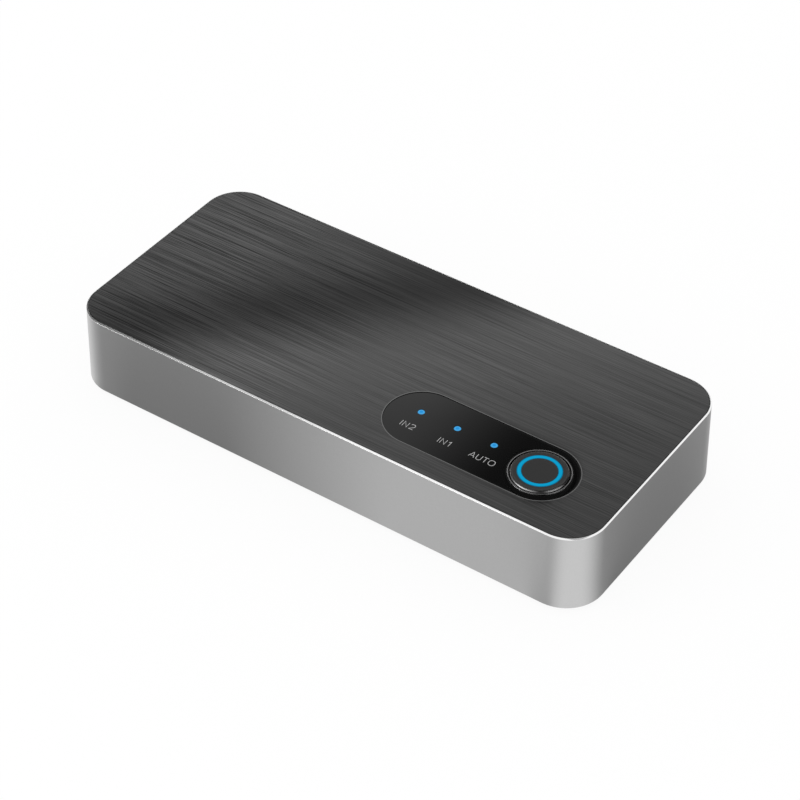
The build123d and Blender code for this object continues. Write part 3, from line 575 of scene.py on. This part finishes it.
# %% Combining meshes
def combined(mesh, tools, operation):
    """Mesh code joined with the volumes of other mesh code, or less them."""
    target, tool = placed("target", mesh), placed("tool", tools)
    step = target.modifiers.new("combine", "BOOLEAN")
    step.operation = operation
    step.solver = "EXACT"
    step.use_self = True
    step.object = tool
    result = bmesh.new()
    result.from_object(target, bpy.context.evaluated_depsgraph_get())
    for used in (target, tool):
        bpy.data.objects.remove(used)
    return result


def block(mesh, centre, length, width, low, high):
    """Adds an upright block round a place."""
    loft(mesh, [at(rectangle_about(centre, length, width), z) for z in (low, high)])


# %% Inner blocks
board_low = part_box("circuit_board")[0].z
post_height = 1.6 * mm
cover_top = board_low - post_height
deck_bottom = deck_top - deck_thickness
sink = 0.3 * mm  # each inner block reaches this far into the deck or the wall
boss_radius = 2.6 * mm
boss_steps = 6
gusset = 1 * mm
rib_width, rib_height = 1 * mm, 0.8 * mm
holder_wall, holder_length = 0.8 * mm, 3 * mm
slip_gap = 0.1 * mm
fit_gap = 0.03 * mm
sockets = ("in2", "in1", "out")
lamps = ("in2", "in1", "auto")
corners_of_case = ("front_left", "front_right", "back_left", "back_right")

inside = bmesh.new()
for name in corners_of_case:
    boss = middle("foot_" + name)
    to_wall = Vector((case_high.x - wall - abs(boss.x), case_high.y - wall - abs(boss.y)))
    out_x, out_y = (1 if boss.x > 0 else -1), (1 if boss.y > 0 else -1)
    loft(inside, [at(circle(boss, boss_radius, boss_steps), z) for z in (cover_top, deck_bottom + sink)])
    for shift, length, width in ((Vector((out_x * to_wall.x / 2, 0)), to_wall.x + sink, gusset),
                                 (Vector((0, out_y * to_wall.y / 2)), gusset, to_wall.y + sink)):
        block(inside, boss.to_2d() + shift, length, width, board_low, deck_bottom + sink)
for name in sockets:
    block(inside, (middle("video_socket_shell_" + name).x, 0), rib_width,
          2 * (case_high.y - wall_lean - wall) + sink, deck_bottom - rib_height, deck_bottom + sink)
first_pipe, last_pipe = middle("light_pipe_in2"), middle("light_pipe_auto")
holder_side = pipe_width + 2 * (slip_gap + holder_wall)
block(inside, (first_pipe + last_pipe) / 2, last_pipe.x - first_pipe.x + holder_side, holder_side,
      deck_bottom - holder_length, deck_bottom + sink)
case_mesh = combined(case_mesh, inside, "UNION")
print("faces with the inner blocks:", len(case_mesh.faces))

# %% Shapes of the cutters
overrun = 1 * mm
socket_gap = 0.95 * mm
mouth_side = 2.7 * mm
mouth_slant = 1.55 * mm
mouth_corner = 0.45 * mm
power_growth, power_gap = 0.33 * mm, 0.25 * mm
nearly_round = 0.999  # of half the height, so that a short straight side is left
screw_hole = 1.03 * mm
screw_hole_top = cover_top + 5.7 * mm
button_hole = 4.82 * mm
pipe_hole = pipe_width + 2 * slip_gap
wall_outside = case_high.y - wall_lean


def upright(outline, y):
    """An outline drawn across the box and upwards, as a loop of points at a depth."""
    return [Vector((p[0], y, p[1])) for p in outline]


def mouth(node):
    """The corner points of a video socket's mouth: square above, slanted below."""
    low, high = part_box(node)
    left, right_end = low.x - fit_gap, high.x + fit_gap
    floor_level, ceiling = low.z - fit_gap, high.z + fit_gap
    return [Vector((left + mouth_slant, floor_level)), Vector((right_end - mouth_slant, floor_level)),
            Vector((right_end, ceiling - mouth_side)), Vector((right_end, ceiling)),
            Vector((left, ceiling)), Vector((left, ceiling - mouth_side))]


first_mouth = mouth("video_socket_insulator_in1")
print("height of a mouth, mm:", round((first_mouth[3].y - first_mouth[0].y) / mm, 2))

# %% Cutters
button_middle = middle("button_cap")
cutters = bmesh.new()
loft(cutters, [at(circle(button_middle, button_hole), z)
               for z in (deck_bottom - overrun, deck_top + overrun)])
for name in lamps:
    block(cutters, middle("light_pipe_" + name), pipe_hole, pipe_hole,
          deck_bottom - holder_length - overrun, deck_top + overrun)
for name in corners_of_case:
    loft(cutters, [at(circle(middle("foot_" + name), screw_hole, boss_steps), z)
                   for z in (cover_top - overrun, screw_hole_top)])
power_low, power_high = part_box("power_port_shell")
power_high_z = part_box("power_port_insulator")[1].z + power_growth
power_low_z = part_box("power_port_insulator")[0].z - power_growth
power_corners = rectangle((power_low.x, power_low_z), (power_high.x, power_high_z))
power_radius = (power_high_z - power_low_z) / 2
openings = [(mouth("video_socket_insulator_" + name), mouth_corner, socket_gap) for name in sockets]
openings.append((power_corners, power_radius * nearly_round, power_gap))
for corners, radius, gap in openings:
    stations = [(gap, wall_outside - wall - overrun), (gap, wall_outside),
                (gap + overrun, wall_outside + overrun)]
    loft(cutters, [upright(rounded(grown(corners, g), radius + g), y) for g, y in stations])
print("cutter faces:", len(cutters.faces))

# %% The case, cut and finished
case_mesh = combined(case_mesh, cutters, "DIFFERENCE")
rim_low = case_high.z - chamfer - edge_softness
slanting, level = 0.2, 0.93  # how much of a face's direction is upwards
for face in case_mesh.faces:
    spot, facing = face.calc_center_median(), face.normal
    faces_middle = facing.x * spot.x + facing.y * spot.y < 0
    if spot.z > rim_low and slanting < facing.z < level:
        face.material_index = 1
    # the lip's flat top and its inner side take the painted shadow
    elif spot.z > deck_top + edge_softness and (facing.z >= level or faces_middle):
        face.material_index = 2
    else:
        face.material_index = 0
piece("case_shell", case_mesh, "case", [satin_metal, bright_metal, painted_shadow_metal],
      ["upper_housing"])

# %% [markdown]
# ## Brushed plate and lamp panel
#
# The plate is sheet metal, so its outer edge is barely broken. The stadium cut-out in it has a shallow
# cut round its edge, 0.15 mm wide, which shows as the fine grey line round the panel. The panel is let
# into the cut-out, a little below the plate's face. Both are filled between contours.

# %% Brushed plate
plate_low, plate_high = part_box("top_plate")
panel_low, panel_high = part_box("indicator_panel")
plate_inset = plate_high.x - (case_high.x - wall_lean)
panel_radius = (panel_high.y - panel_low.y) / 2
panel_steps = 32
slot_ring = 0.15 * mm
slot_ring_depth = 0.01 * mm
ring_slope = (0.9, 0.9995)  # how much of the shallow cut's direction is upwards, from and to

top_mesh = bmesh.new()
slot_corners = grown(rectangle(panel_low, panel_high), fit_gap)
slot_stations = [(0, plate_low.z), (0, plate_high.z - slot_ring_depth), (-slot_ring, plate_high.z),
                 (-slot_ring - edge_softness, plate_high.z)]
plate(top_mesh, [
    (rectangle(plate_low, plate_high), corner_radius + plate_inset, corner_steps,
     edge_stations(plate_low.z, plate_high.z, edge_softness)),
    (slot_corners, panel_radius + fit_gap, panel_steps, slot_stations),
], plate_low.z, plate_high.z)
top_mesh.normal_update()
for face in top_mesh.faces:
    spot = face.calc_center_median()
    beside_panel = all(panel_low[i] - slot_ring < spot[i] < panel_high[i] + slot_ring for i in (0, 1))
    face.material_index = int(beside_panel and ring_slope[0] < abs(face.normal.z) < ring_slope[1])
brushed_top = piece("brushed_top", top_mesh, "case",
                    [brushed_metal, finishes["etched_aluminium"]], ["top_plate"])
unwrap = brushed_top.data.uv_layers.new(name="grain")
for corner in brushed_top.data.loops:
    spot = brushed_top.data.vertices[corner.vertex_index].co
    unwrap.data[corner.index].uv = ((spot.x - plate_low.x) / (plate_high.x - plate_low.x),
                                    (spot.y - plate_low.y) / (plate_high.x - plate_low.x))

# %% Lamp panel
bezel_radius = reach("button_bezel")
hole_steps = 24


def hole(centre, radius, stations):
    """A round hole as a contour of a plate."""
    return rectangle_about(centre, 2 * radius, 2 * radius), radius, hole_steps, stations


panel_mesh = bmesh.new()
panel_stations = edge_stations(panel_low.z, panel_high.z, edge_softness)
tip_stations = edge_stations(panel_low.z, panel_high.z, edge_softness / 2)
contours = [(rectangle(panel_low, panel_high), panel_radius, panel_steps, panel_stations),
            hole(button_middle, bezel_radius + fit_gap, panel_stations)]
contours += [hole(middle("light_pipe_" + name), tip_radius + fit_gap, tip_stations) for name in lamps]
plate(panel_mesh, contours, panel_low.z, panel_high.z)
piece("lamp_panel", panel_mesh, "case", [gloss_acrylic], ["indicator_panel"])

# %% [markdown]
# ## Push button and its trim ring
#
# The button is turned, so each piece is a section carried round the button's axis: the cap with its
# trapped flange, the light guide whose upper end shows as the lit ring, and the dark disc in the middle.
# The steel trim ring stays with the case. The cap is matt, but the outside of its round edge is plated
# with smoked chrome, because the photograph shows two clear highlights on an edge that is dark beside
# them.

# %% Turned pieces
turn_steps = 32


def turned(name, centre, points, radii, body, materials, node, ring=False):
    """A piece turned from a section of radii and heights, with its corners rounded."""
    mesh = bmesh.new()
    profile = rounded([Vector(p) for p in points], radii, closed=ring, steps=6)
    loft(mesh, [at(circle(centre, r, turn_steps), z) for r, z in profile], ring=ring)
    return piece(name, mesh, body, materials, [node])


def band(inner, outer, low, high):
    """The section of a flat ring, or of a disc whose middle the loft fills, as radii and heights."""
    return [(inner, low), (outer, low), (outer, high), (inner, high)]


cap_low, cap_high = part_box("button_cap")
guide_low, guide_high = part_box("button_light_guide")
centre_low, centre_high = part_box("button_centre")
bezel_low, bezel_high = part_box("button_bezel")
flange_radius, disc_radius = reach("button_cap"), reach("button_centre")
cap_radius = 4.72 * mm
cap_round = 0.5 * mm
plated_height = 0.06 * mm
flange_thickness = 0.7 * mm
guide_stem = 1.5 * mm
guide_length = 2.4 * mm
bezel_width = 0.24 * mm
ring_edge = 0.03 * mm
print("button, mm across:", round(2 * cap_radius / mm, 2))

# %% Cap, lit ring, disc and trim ring
bore = ring_radius + fit_gap
flange_top = cap_low.z + flange_thickness
button_cap = turned(
    "push_button_cap", button_middle,
    [(bore, cap_high.z), (bore, cap_low.z), (flange_radius, cap_low.z), (flange_radius, flange_top),
     (cap_radius, flange_top), (cap_radius, cap_high.z)],
    [ring_edge, ring_edge, ring_edge, ring_edge, ring_edge, cap_round],
    "button", [finishes["matt_abs"], finishes["smoked_chrome"]], "button_cap", ring=True,
)
for face in button_cap.data.polygons:
    face.material_index = int(cap_high.z - cap_round < face.center.z < cap_high.z - plated_height)
lit_inside = disc_radius + fit_gap
guide_shoulder = guide_high.z - guide_length
turned(
    "lit_ring", button_middle,
    [(guide_stem / 2, guide_low.z), (guide_stem, guide_low.z), (guide_stem, guide_shoulder),
     (ring_radius, guide_shoulder), (ring_radius, guide_high.z), (lit_inside, guide_high.z),
     (lit_inside, centre_low.z), (lit_inside / 2, centre_low.z)],
    ring_edge, "button", [ring_glow], "button_light_guide",
)
turned(
    "button_disc", button_middle, band(disc_radius / 2, disc_radius, centre_low.z, centre_high.z),
    ring_edge, "button", [finishes["matt_abs"]], "button_centre",
)
turned(
    "trim_ring", button_middle, band(bezel_radius - bezel_width, bezel_radius, bezel_low.z, bezel_high.z),
    [ring_edge, ring_edge, 2 * ring_edge, 2 * ring_edge],
    "case", [finishes["polished_steel"]], "button_bezel", ring=True,
)

# %% [markdown]
# ## Snap dome
#
# Under the button's plunger lies a domed spring steel disc, which gives the click. It is pressed flat by
# the plunger when the button goes down. Here it is drawn once more, at rest, as a turned piece with a
# mesh of its own.

# %% Dome, drawn once more with a mesh of its own
dome_low, dome_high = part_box("switch_dome")
dome_radius = reach("switch_dome")
dome_crown = dome_radius / 2
dome_sheet = 0.12 * mm
snap_dome = turned(
    "snap_dome", middle("switch_dome"),
    [(dome_crown / 2, dome_high.z - dome_sheet), (dome_crown - dome_sheet, dome_high.z - dome_sheet),
     (dome_radius - 2 * dome_sheet, dome_low.z), (dome_radius, dome_low.z), (dome_crown, dome_high.z),
     (dome_crown / 2, dome_high.z)],
    [0, ring_edge, ring_edge / 2, ring_edge / 2, ring_edge, 0],
    "case", [finishes["nickel_plated_steel"]], "switch_dome",
)
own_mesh(snap_dome)

# %% [markdown]
# ## Lamp tips and feet
#
# Each light pipe is a square column up to the panel, with a round tip that ends flush with its face. The
# tip's rim is rounded where it left the mould. The feet are die-cut discs of soft rubber: their lower
# rim is rolled a little by the weight of the box.

# %% Light pipes
tip_softness = 0.12 * mm
shoulder = deck_top - slip_gap
for name in lamps:
    node = "light_pipe_" + name
    low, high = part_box(node)
    pipe_mesh = bmesh.new()
    loft(pipe_mesh, [at(rectangle(low, high), z) for z in (low.z, shoulder)])
    tip = rounded([Vector((0, shoulder)), Vector((0, high.z)), Vector((-tip_radius / 2, high.z))],
                  tip_softness, closed=False, steps=4)
    loft(pipe_mesh, [at(circle(middle(node), tip_radius + g), z) for g, z in tip])
    piece("lamp_tip_" + name, pipe_mesh, "case", [lamp_glow], [node])

# %% Feet
foot_roll = 0.25 * mm
for name in corners_of_case:
    node = "foot_" + name
    low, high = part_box(node)
    turned(
        "rubber_" + node, middle(node), band(reach(node) / 2, reach(node), low.z, high.z),
        [0, foot_roll, ring_edge, 0], "case", [finishes["silicone_rubber"]], node,
    )

# %% [markdown]
# ## Printed legends
#
# In front of each lamp stands a plain word that says what it shows: IN2, IN1 and AUTO. They are screen
# printed in light grey ink, 1.26 mm high, with strokes of one width and rounded bends. A font would
# bring its own proportions, so each letter is a few strokes on a grid whose height is one. Ink lies on
# the surface, so the strokes are given a real thickness of 0.02 mm.

# %% Letters as strokes
letter_height = 1.26 * mm
stroke = 0.1 * mm
ink_thickness = 0.02 * mm
ink = grained("screen_print_ink", "#bababa", "#b0b0b0", 0.1 * mm, 0.002 * mm, Roughness=0.5, IOR=1.5)

# Each letter: its width, the free space on each side of it, then its strokes as points, bend radius and
# whether it closes, all as shares of the height between stroke centres
letter_shares = {
    "I": (0, 0.19, [([(0, 0), (0, 1)], 0, False)]),
    "N": (0.70, 0.19, [([(0, 0), (0, 1), (0.70, 0), (0.70, 1)], 0, False)]),
    "1": (0.28, 0.22, [([(0, 0.74), (0.28, 1), (0.28, 0)], 0, False)]),
    "2": (0.64, 0.22, [([(0, 0.8), (0.02, 1), (0.6, 1), (0.62, 0.58), (0, 0), (0.64, 0)],
                       [0, 0.16, 0.22, 0.24, 0, 0], False)]),
    "A": (0.84, 0.11, [([(0, 0), (0.42, 1), (0.84, 0)], 0, False), ([(0.13, 0.3), (0.71, 0.3)], 0, False)]),
    "U": (0.70, 0.16, [([(0, 1), (0, 0), (0.71, 0), (0.71, 1)], 0.3, False)]),
    "T": (0.68, 0.12, [([(0, 1), (0.68, 1)], 0, False), ([(0.34, 1), (0.34, 0)], 0, False)]),
    "O": (0.88, 0.14, [([(0, 0), (0.88, 0), (0.88, 1), (0, 1)], 0.38, True)]),
}
sharpest_bend = 0.35  # keeps the outer corner of a sharp bend from running out to a spike


def stroke_outline(path, width, side):
    """The points beside an open path, on one side and at half its width."""
    beside = []
    for i, point in enumerate(path):
        before = (point - path[i - 1]).normalized() if i else (path[1] - point).normalized()
        after = (path[i + 1] - point).normalized() if i + 1 < len(path) else before
        out_before = Vector((before.y, -before.x)) * side
        out_after = Vector((after.y, -after.x)) * side
        spread = max(1 + out_before.dot(out_after), sharpest_bend)
        beside.append(point + (out_before + out_after) * width / 2 / spread)
    return beside


def word(name, letters, centre_x, base_line):
    """A printed word, centred over a place and standing on its base line, as one piece."""
    size = letter_height - stroke
    ends = letter_shares[letters[0]][1] + letter_shares[letters[-1]][1]
    width = (sum(letter_shares[c][0] + 2 * letter_shares[c][1] for c in letters) - ends) * size
    pen = centre_x - width / 2 - letter_shares[letters[0]][1] * size
    mesh = bmesh.new()
    low, high = panel_high.z - ink_thickness / 2, panel_high.z + ink_thickness / 2
    for letter in letters:
        share, space, strokes = letter_shares[letter]
        pen += space * size
        for points, bend, closes in strokes:
            start = Vector((pen, base_line + stroke / 2))
            corners = [start + Vector(p) * size for p in points]
            bends = [b * size for b in bend] if isinstance(bend, list) else bend * size
            path = rounded(corners, bends, closed=closes, steps=6)
            if closes:
                outside, inside = grown(path, stroke / 2), grown(path, -stroke / 2)
                loops = [at(outside, low), at(outside, high), at(inside, high), at(inside, low)]
                loft(mesh, loops, ring=True)
            else:
                outline = stroke_outline(path, stroke, 1) + stroke_outline(path, stroke, -1)[::-1]
                loft(mesh, [at(outline, low), at(outline, high)])
        pen += (share + space) * size
    print(letters, "width, mm:", round((width + stroke) / mm, 2))
    piece(name, mesh, "case", [ink])


# Each word: its piece, its letters, its lamp, how far it stands to the right of the lamp, its base line
legends = [("legend_input_2", "IN2", "in2", 0.05 * mm, -14.11 * mm),
           ("legend_input_1", "IN1", "in1", 0.08 * mm, -14.11 * mm),
           ("legend_auto", "AUTO", "auto", 0.19 * mm, -14.02 * mm)]
for name, letters, lamp_name, shift, base_line in legends:
    word(name, letters, middle("light_pipe_" + lamp_name).x + shift, base_line)

# %% [markdown]
# ## Finishes of the pieces that keep their own shape
#
# The sockets, the cover, the board and everything on it are already modelled as they are, so they stay
# and only get their finish, by the slot that the record gives each of them. Folded and moulded edges
# are never sharp, so the pieces that can be seen from behind or below get a very small bevel.

# %% Finishes by slot, and small edges
finish_of_slot = {
    "cover_plastic": "textured_abs", "screw_steel": "zinc_plated_steel", "board_laminate": "solder_mask",
    "nickel_shell": "nickel_plated_steel", "gold_contact": "gold_plated_bronze",
    "black_insulator": "glass_filled_nylon", "chip_epoxy": "moulded_epoxy", "tinned_lead": "tinned_copper",
    "can_aluminium": "drawn_aluminium", "ceramic": "fired_ceramic", "lamp_resin": "clear_resin",
}
small_edge = {"cover_plastic": 0.12 * mm, "nickel_shell": 0.05 * mm, "black_insulator": 0.06 * mm}
bevel_from = radians(40)
for part in frame["record"]["subparts"]:
    node = frame["nodes"][part["node"]]
    if node.hide_render:
        continue
    slot = part["material_slot"]
    for used in node.material_slots:
        used.material = finishes[finish_of_slot[slot]]
    if slot in small_edge:
        edge = node.modifiers.new("small edge", "BEVEL")
        edge.width = small_edge[slot]
        edge.segments = 2
        edge.limit_method = "ANGLE"
        edge.angle_limit = bevel_from
print("nodes that keep their shape:", sum(not n.hide_render for n in frame["nodes"].values()))

# %% [markdown]
# ## Studio
#
# The photograph is cut out on pure white. The world is plain white at a strength of one, so a matt
# colour renders about as it is written. The floor is white too, and shows most of that white directly to
# the camera and in reflections, so that only a faint shadow is left where the box stands. One wide soft
# lamp stands at the front left, where the sloping rim of the button mirrors it: it makes the bright
# crescent there.

# %% World and floor
world = bpy.data.worlds.new("studio")
world.use_nodes = True
bpy.context.scene.world = world
world.node_tree.nodes["Background"].inputs["Color"].default_value = linear("#ffffff")

floor_half = 6.0
floor_depth = 0.01
plain_white = 0.9  # the share of plain white in what the camera and reflections see of the floor
floor_mesh = bmesh.new()
loft(floor_mesh, [at(rectangle((-floor_half, -floor_half), (floor_half, floor_half)), z)
                  for z in (-floor_depth, 0)])
floor = placed("floor", floor_mesh)
white_floor, tree, shader = finish("white_floor", Base_Color=linear("#fafafa"), Roughness=0.9)
floor.data.materials.append(white_floor)
rays = add(tree, "ShaderNodeLightPath", {})
seen = add(tree, "ShaderNodeMath", {"operation": "MAXIMUM"},
           {0: rays.outputs["Is Camera Ray"], 1: rays.outputs["Is Glossy Ray"]})
shown = add(tree, "ShaderNodeMath", {"operation": "MAXIMUM"},
            {0: seen.outputs["Value"], 1: rays.outputs["Is Transmission Ray"]})
share = add(tree, "ShaderNodeMath", {"operation": "MULTIPLY", 1: plain_white}, {0: shown.outputs["Value"]})
glow = add(tree, "ShaderNodeEmission", {"Strength": 1.0})
blend = add(tree, "ShaderNodeMixShader", {},
            {0: share.outputs["Value"], 1: shader.outputs["BSDF"], 2: glow.outputs["Emission"]})
tree.links.new(blend.outputs["Shader"], tree.nodes["Material Output"].inputs["Surface"])
print("plain white in the floor:", plain_white)

# %% Lamp
lamp_distance = 0.7
lamp_width, lamp_height = 0.36, 0.2
lamp_power = 0.66
rim_rise = radians(35)
rim_turn = radians(4)
rim_facing = Vector((-sin(rim_turn) * cos(rim_rise), -cos(rim_turn) * cos(rim_rise), sin(rim_rise)))
lamp_direction = (-back).reflect(rim_facing)
lamp = bpy.data.objects.new("front_lamp", bpy.data.lights.new("front_lamp", "AREA"))
lamp.data.shape = "RECTANGLE"
lamp.data.size = lamp_width
lamp.data.size_y = lamp_height
lamp.data.energy = lamp_power
lamp.location = lamp_direction * lamp_distance
lamp.rotation_euler = (-lamp_direction).to_track_quat("-Z", "Y").to_euler()
bpy.context.scene.collection.objects.link(lamp)
print("lamp at", [round(c, 2) for c in lamp.location])

# %% [markdown]
# ## Scrims
#
# White all round makes metal look flat. A photographer hangs grey scrims where the metal mirrors them:
# one on the table gives the silver walls their slow change from grey to bright, one above gives the
# brushed plate its slanting dark band, one lets the gloss panel go black near the button, one dims the
# bright edge at the left, and a small one darkens the rim of the button beside its two highlights. Only
# reflections see these sheets. Each is laid out on the surface that mirrors it, point by point, and
# carried to its place along the mirrored line of sight, so its shade can be planned along the object.

# %% Scrim sheets and their finish
scrim_finish = bpy.data.materials.new("grey_scrim")
scrim_finish.use_nodes = True
tree = scrim_finish.node_tree
tree.nodes.remove(tree.nodes["Principled BSDF"])
shade_here = add(tree, "ShaderNodeAttribute", {"attribute_name": "shade"})
clear = add(tree, "ShaderNodeBsdfTransparent", {})
dark = add(tree, "ShaderNodeEmission", {"Color": linear("#000000")})
blend = add(tree, "ShaderNodeMixShader", {},
            {0: shade_here.outputs["Fac"], 1: clear.outputs["BSDF"], 2: dark.outputs["Emission"]})
tree.links.new(blend.outputs["Shader"], tree.nodes["Material Output"].inputs["Surface"])


def smooth(value, start, end):
    """From 0 at the start to 1 at the end, with no corner."""
    share = min(max((value - start) / (end - start), 0), 1)
    return share * share * (3 - 2 * share)


def planned(stops, place):
    """The shade at a place, on straight lines between stops of place and shade."""
    for (start, first), (end, second) in zip(stops, stops[1:]):
        if place < end:
            return first + (second - first) * max(place - start, 0) / (end - start)
    return stops[-1][1]


def scrim(name, layout, columns, rows, level=None, distance=None):
    """A sheet at a level, or at a distance from what mirrors it. For two shares from 0 to 1, the layout
    gives a point of the mirroring surface, the way that it faces there, and how dark the sheet is."""
    mesh = bmesh.new()
    shades = []
    grid = []
    for i in range(columns + 1):
        row = []
        for j in range(rows + 1):
            point, facing, shade = layout(i / columns, j / rows)
            ray = (point - camera.location).normalized().reflect(facing.normalized())
            length = distance or (level - point.z) / ray.z
            row.append(mesh.verts.new(point + ray * length))
            shades.append(shade)
        grid.append(row)
    for i in range(columns):
        for j in range(rows):
            mesh.faces.new((grid[i][j], grid[i + 1][j], grid[i + 1][j + 1], grid[i][j + 1]))
    sheet = placed(name, mesh)
    sheet.data.attributes.new("shade", "FLOAT", "POINT").data.foreach_set("value", shades)
    sheet.data.materials.append(scrim_finish)
    for ray_kind in ("camera", "diffuse", "shadow", "transmission"):
        setattr(sheet, "visible_" + ray_kind, False)
    print(name, "darkest:", round(max(shades), 2))


# %% Scrims for the walls and for the bright edge, planned along the outline of the case
front_length = 2 * (case_high.x - wall_lean - corner_radius)
side_length = 2 * (case_high.y - wall_lean - corner_radius)
corner_arc = corner_radius * pi / 2
table_level = 0.4 * mm
wall_slope = wall_lean / (case_high.z - case_low.z)
wall_start, wall_extent = 0.5 * mm, 45 * mm  # beyond the real wall, because satin blurs what it mirrors
edge_slope = 1
edge_width, edge_distance = 6 * mm, 18 * mm

# Stops along the outline, in mm from the left end of the front wall, and how dark the sheet is there
wall_way = (-6, 136)
wall_stops = [(-3.2, 0), (-0.6, 0.62), (6, 0.72), (26, 0.72), (58, 0.27), (84, 0.28), (86.6, 0.44),
              (88.4, 0.44), (89.4, 0), (93.4, 0), (96.4, 0.62), (99.5, 0.73), (119, 0.71), (127, 0.64),
              (129.6, 0.45), (131.6, 0)]
edge_way = (-50, 56)
edge_stops = [(-50, 0.9), (-8, 0.86), (6, 0.78), (16, 0.55), (27, 0.35), (36, 0.4), (45, 0.1), (52, 0)]


def between(ends, share):
    """The value at a share of the way between two ends."""
    return ends[0] + share * (ends[1] - ends[0])


def along_case(way, slope, outward, height):
    """A point beside the case and the way that the case faces there. The way is in millimetres from the
    left end of the front wall, to the right. Outward is how far the point is moved off the outline."""
    left_side = min(max(-corner_arc - way * mm, 0), side_length)
    front = min(max(way * mm, 0), front_length)
    right_side = min(max(way * mm - front_length - corner_arc, 0), side_length)
    turn = (way * mm + left_side - front - right_side) / corner_radius
    facing = Vector((sin(turn), -cos(turn), slope))
    point = Vector((front - front_length / 2, left_side + right_side - side_length / 2, height))
    return point + Vector((facing.x, facing.y, 0)) * (corner_radius + outward), facing


def wall_layout(along, rise):
    """Down the walls, from the left corner over the front to the back right corner."""
    way = between(wall_way, along)
    point, facing = along_case(way, wall_slope, 0, wall_start + rise * wall_extent)
    return point, facing, planned(wall_stops, way)


def edge_layout(along, across):
    """Along the bright edge, from the back left corner to the middle of the front."""
    way = between(edge_way, along)
    point, facing = along_case(way, edge_slope, (across - 0.5) * edge_width, plate_high.z)
    return point, facing, planned(edge_stops, way)


scrim("wall_scrim", wall_layout, columns=142, rows=8, level=table_level)
scrim("edge_scrim", edge_layout, columns=106, rows=6, distance=edge_distance)

# %% Scrims for the brushed plate and the gloss panel
upwards = Vector((0, 0, 1))
plate_x, plate_y = (-70 * mm, 62 * mm), (-34 * mm, 50 * mm)
plate_line = 18.5  # mm, the dark line of the plate runs where y is this much more than x
plate_stops = [(-42, 0.32), (-24, 0.36), (-14, 0.46), (-4, 0.78), (3, 0.78), (10, 0.34), (16, 0.06), (21, 0),
               (44, 0.34), (84, 0.52)]
plate_distance = 8 * mm
panel_x = (5 * mm, 45 * mm)
panel_width = 20 * mm
panel_dark = 0.92
dark_start, dark_end = 10 * mm, 31 * mm
panel_blur = 0.3 * mm
ring_clear, ring_dark = 0.1 * mm, 0.35 * mm
panel_distance = 1.2 * mm


def plate_layout(along, across):
    """A dark band that slants across the plate and fades at both sides."""
    point = Vector((between(plate_x, along), between(plate_y, across), plate_high.z))
    return point, upwards, planned(plate_stops, (point.x - point.y) / mm + plate_line)


def panel_layout(along, across):
    """Clear at the panel's left end and nearly black beside the button, but clear over the trim ring."""
    point = Vector((between(panel_x, along), button_middle.y + (across - 0.5) * panel_width, panel_high.z))
    off_axis = Vector((max(point.x - button_middle.x, 0), point.y - button_middle.y)).length
    inside = smooth(off_axis, panel_radius + panel_blur, panel_radius - panel_blur)
    off_ring = abs((point - button_middle).to_2d().length - bezel_radius + bezel_width)
    beside_ring = smooth(off_ring, ring_clear, ring_dark)
    return point, upwards, panel_dark * inside * smooth(point.x, dark_start, dark_end) * beside_ring


scrim("plate_scrim", plate_layout, columns=88, rows=56, level=plate_high.z + plate_distance)
scrim("panel_scrim", panel_layout, columns=200, rows=100, level=panel_high.z + panel_distance)

# %% Scrim for the rim of the button
# Stops round the axis of the button, in degrees, and how dark the sheet is there
rim_stops = [(-215, 0), (-130, 0.1), (-118, 0.2), (-106, 0), (-84, 0), (-60, 0.95), (-50, 0.95), (-38, 0),
             (-20, 0), (-5, 0.95), (15, 0.95), (30, 0.7), (60, 0.5)]
rim_dark = 0.95
rim_arc = 64  # degrees from level up to where the sheet ends
rim_clear_to, rim_dark_from = 24, 34  # degrees from the middle of that arc
rim_distance = 1.5 * mm


def rim_layout(along, across):
    """Round the rim of the button, dark beside its two highlights and clear behind and at the left."""
    angle = between((rim_stops[0][0], rim_stops[-1][0]), along)
    rise = across * rim_arc
    out = Vector((cos(radians(angle)), sin(radians(angle)), 0))
    facing = out * cos(radians(rise)) + upwards * sin(radians(rise))
    on_axis = Vector((button_middle.x, button_middle.y, cap_high.z - cap_round))
    centre = on_axis + out * (cap_radius - cap_round)
    outside = smooth(abs(rise - rim_arc / 2), rim_clear_to, rim_dark_from)
    return centre + facing * cap_round, facing, rim_dark * outside + (1 - outside) * planned(rim_stops, angle)


scrim("rim_scrim", rim_layout, columns=110, rows=22, distance=rim_distance)

# %% [markdown]
# ## Settings
#
# The picture is shown without any film curve, so a colour in the render is the colour that was written.
# The dressed model has to stay inside the plain one.

# %% Film curve
bpy.context.scene.view_settings.view_transform = "Standard"
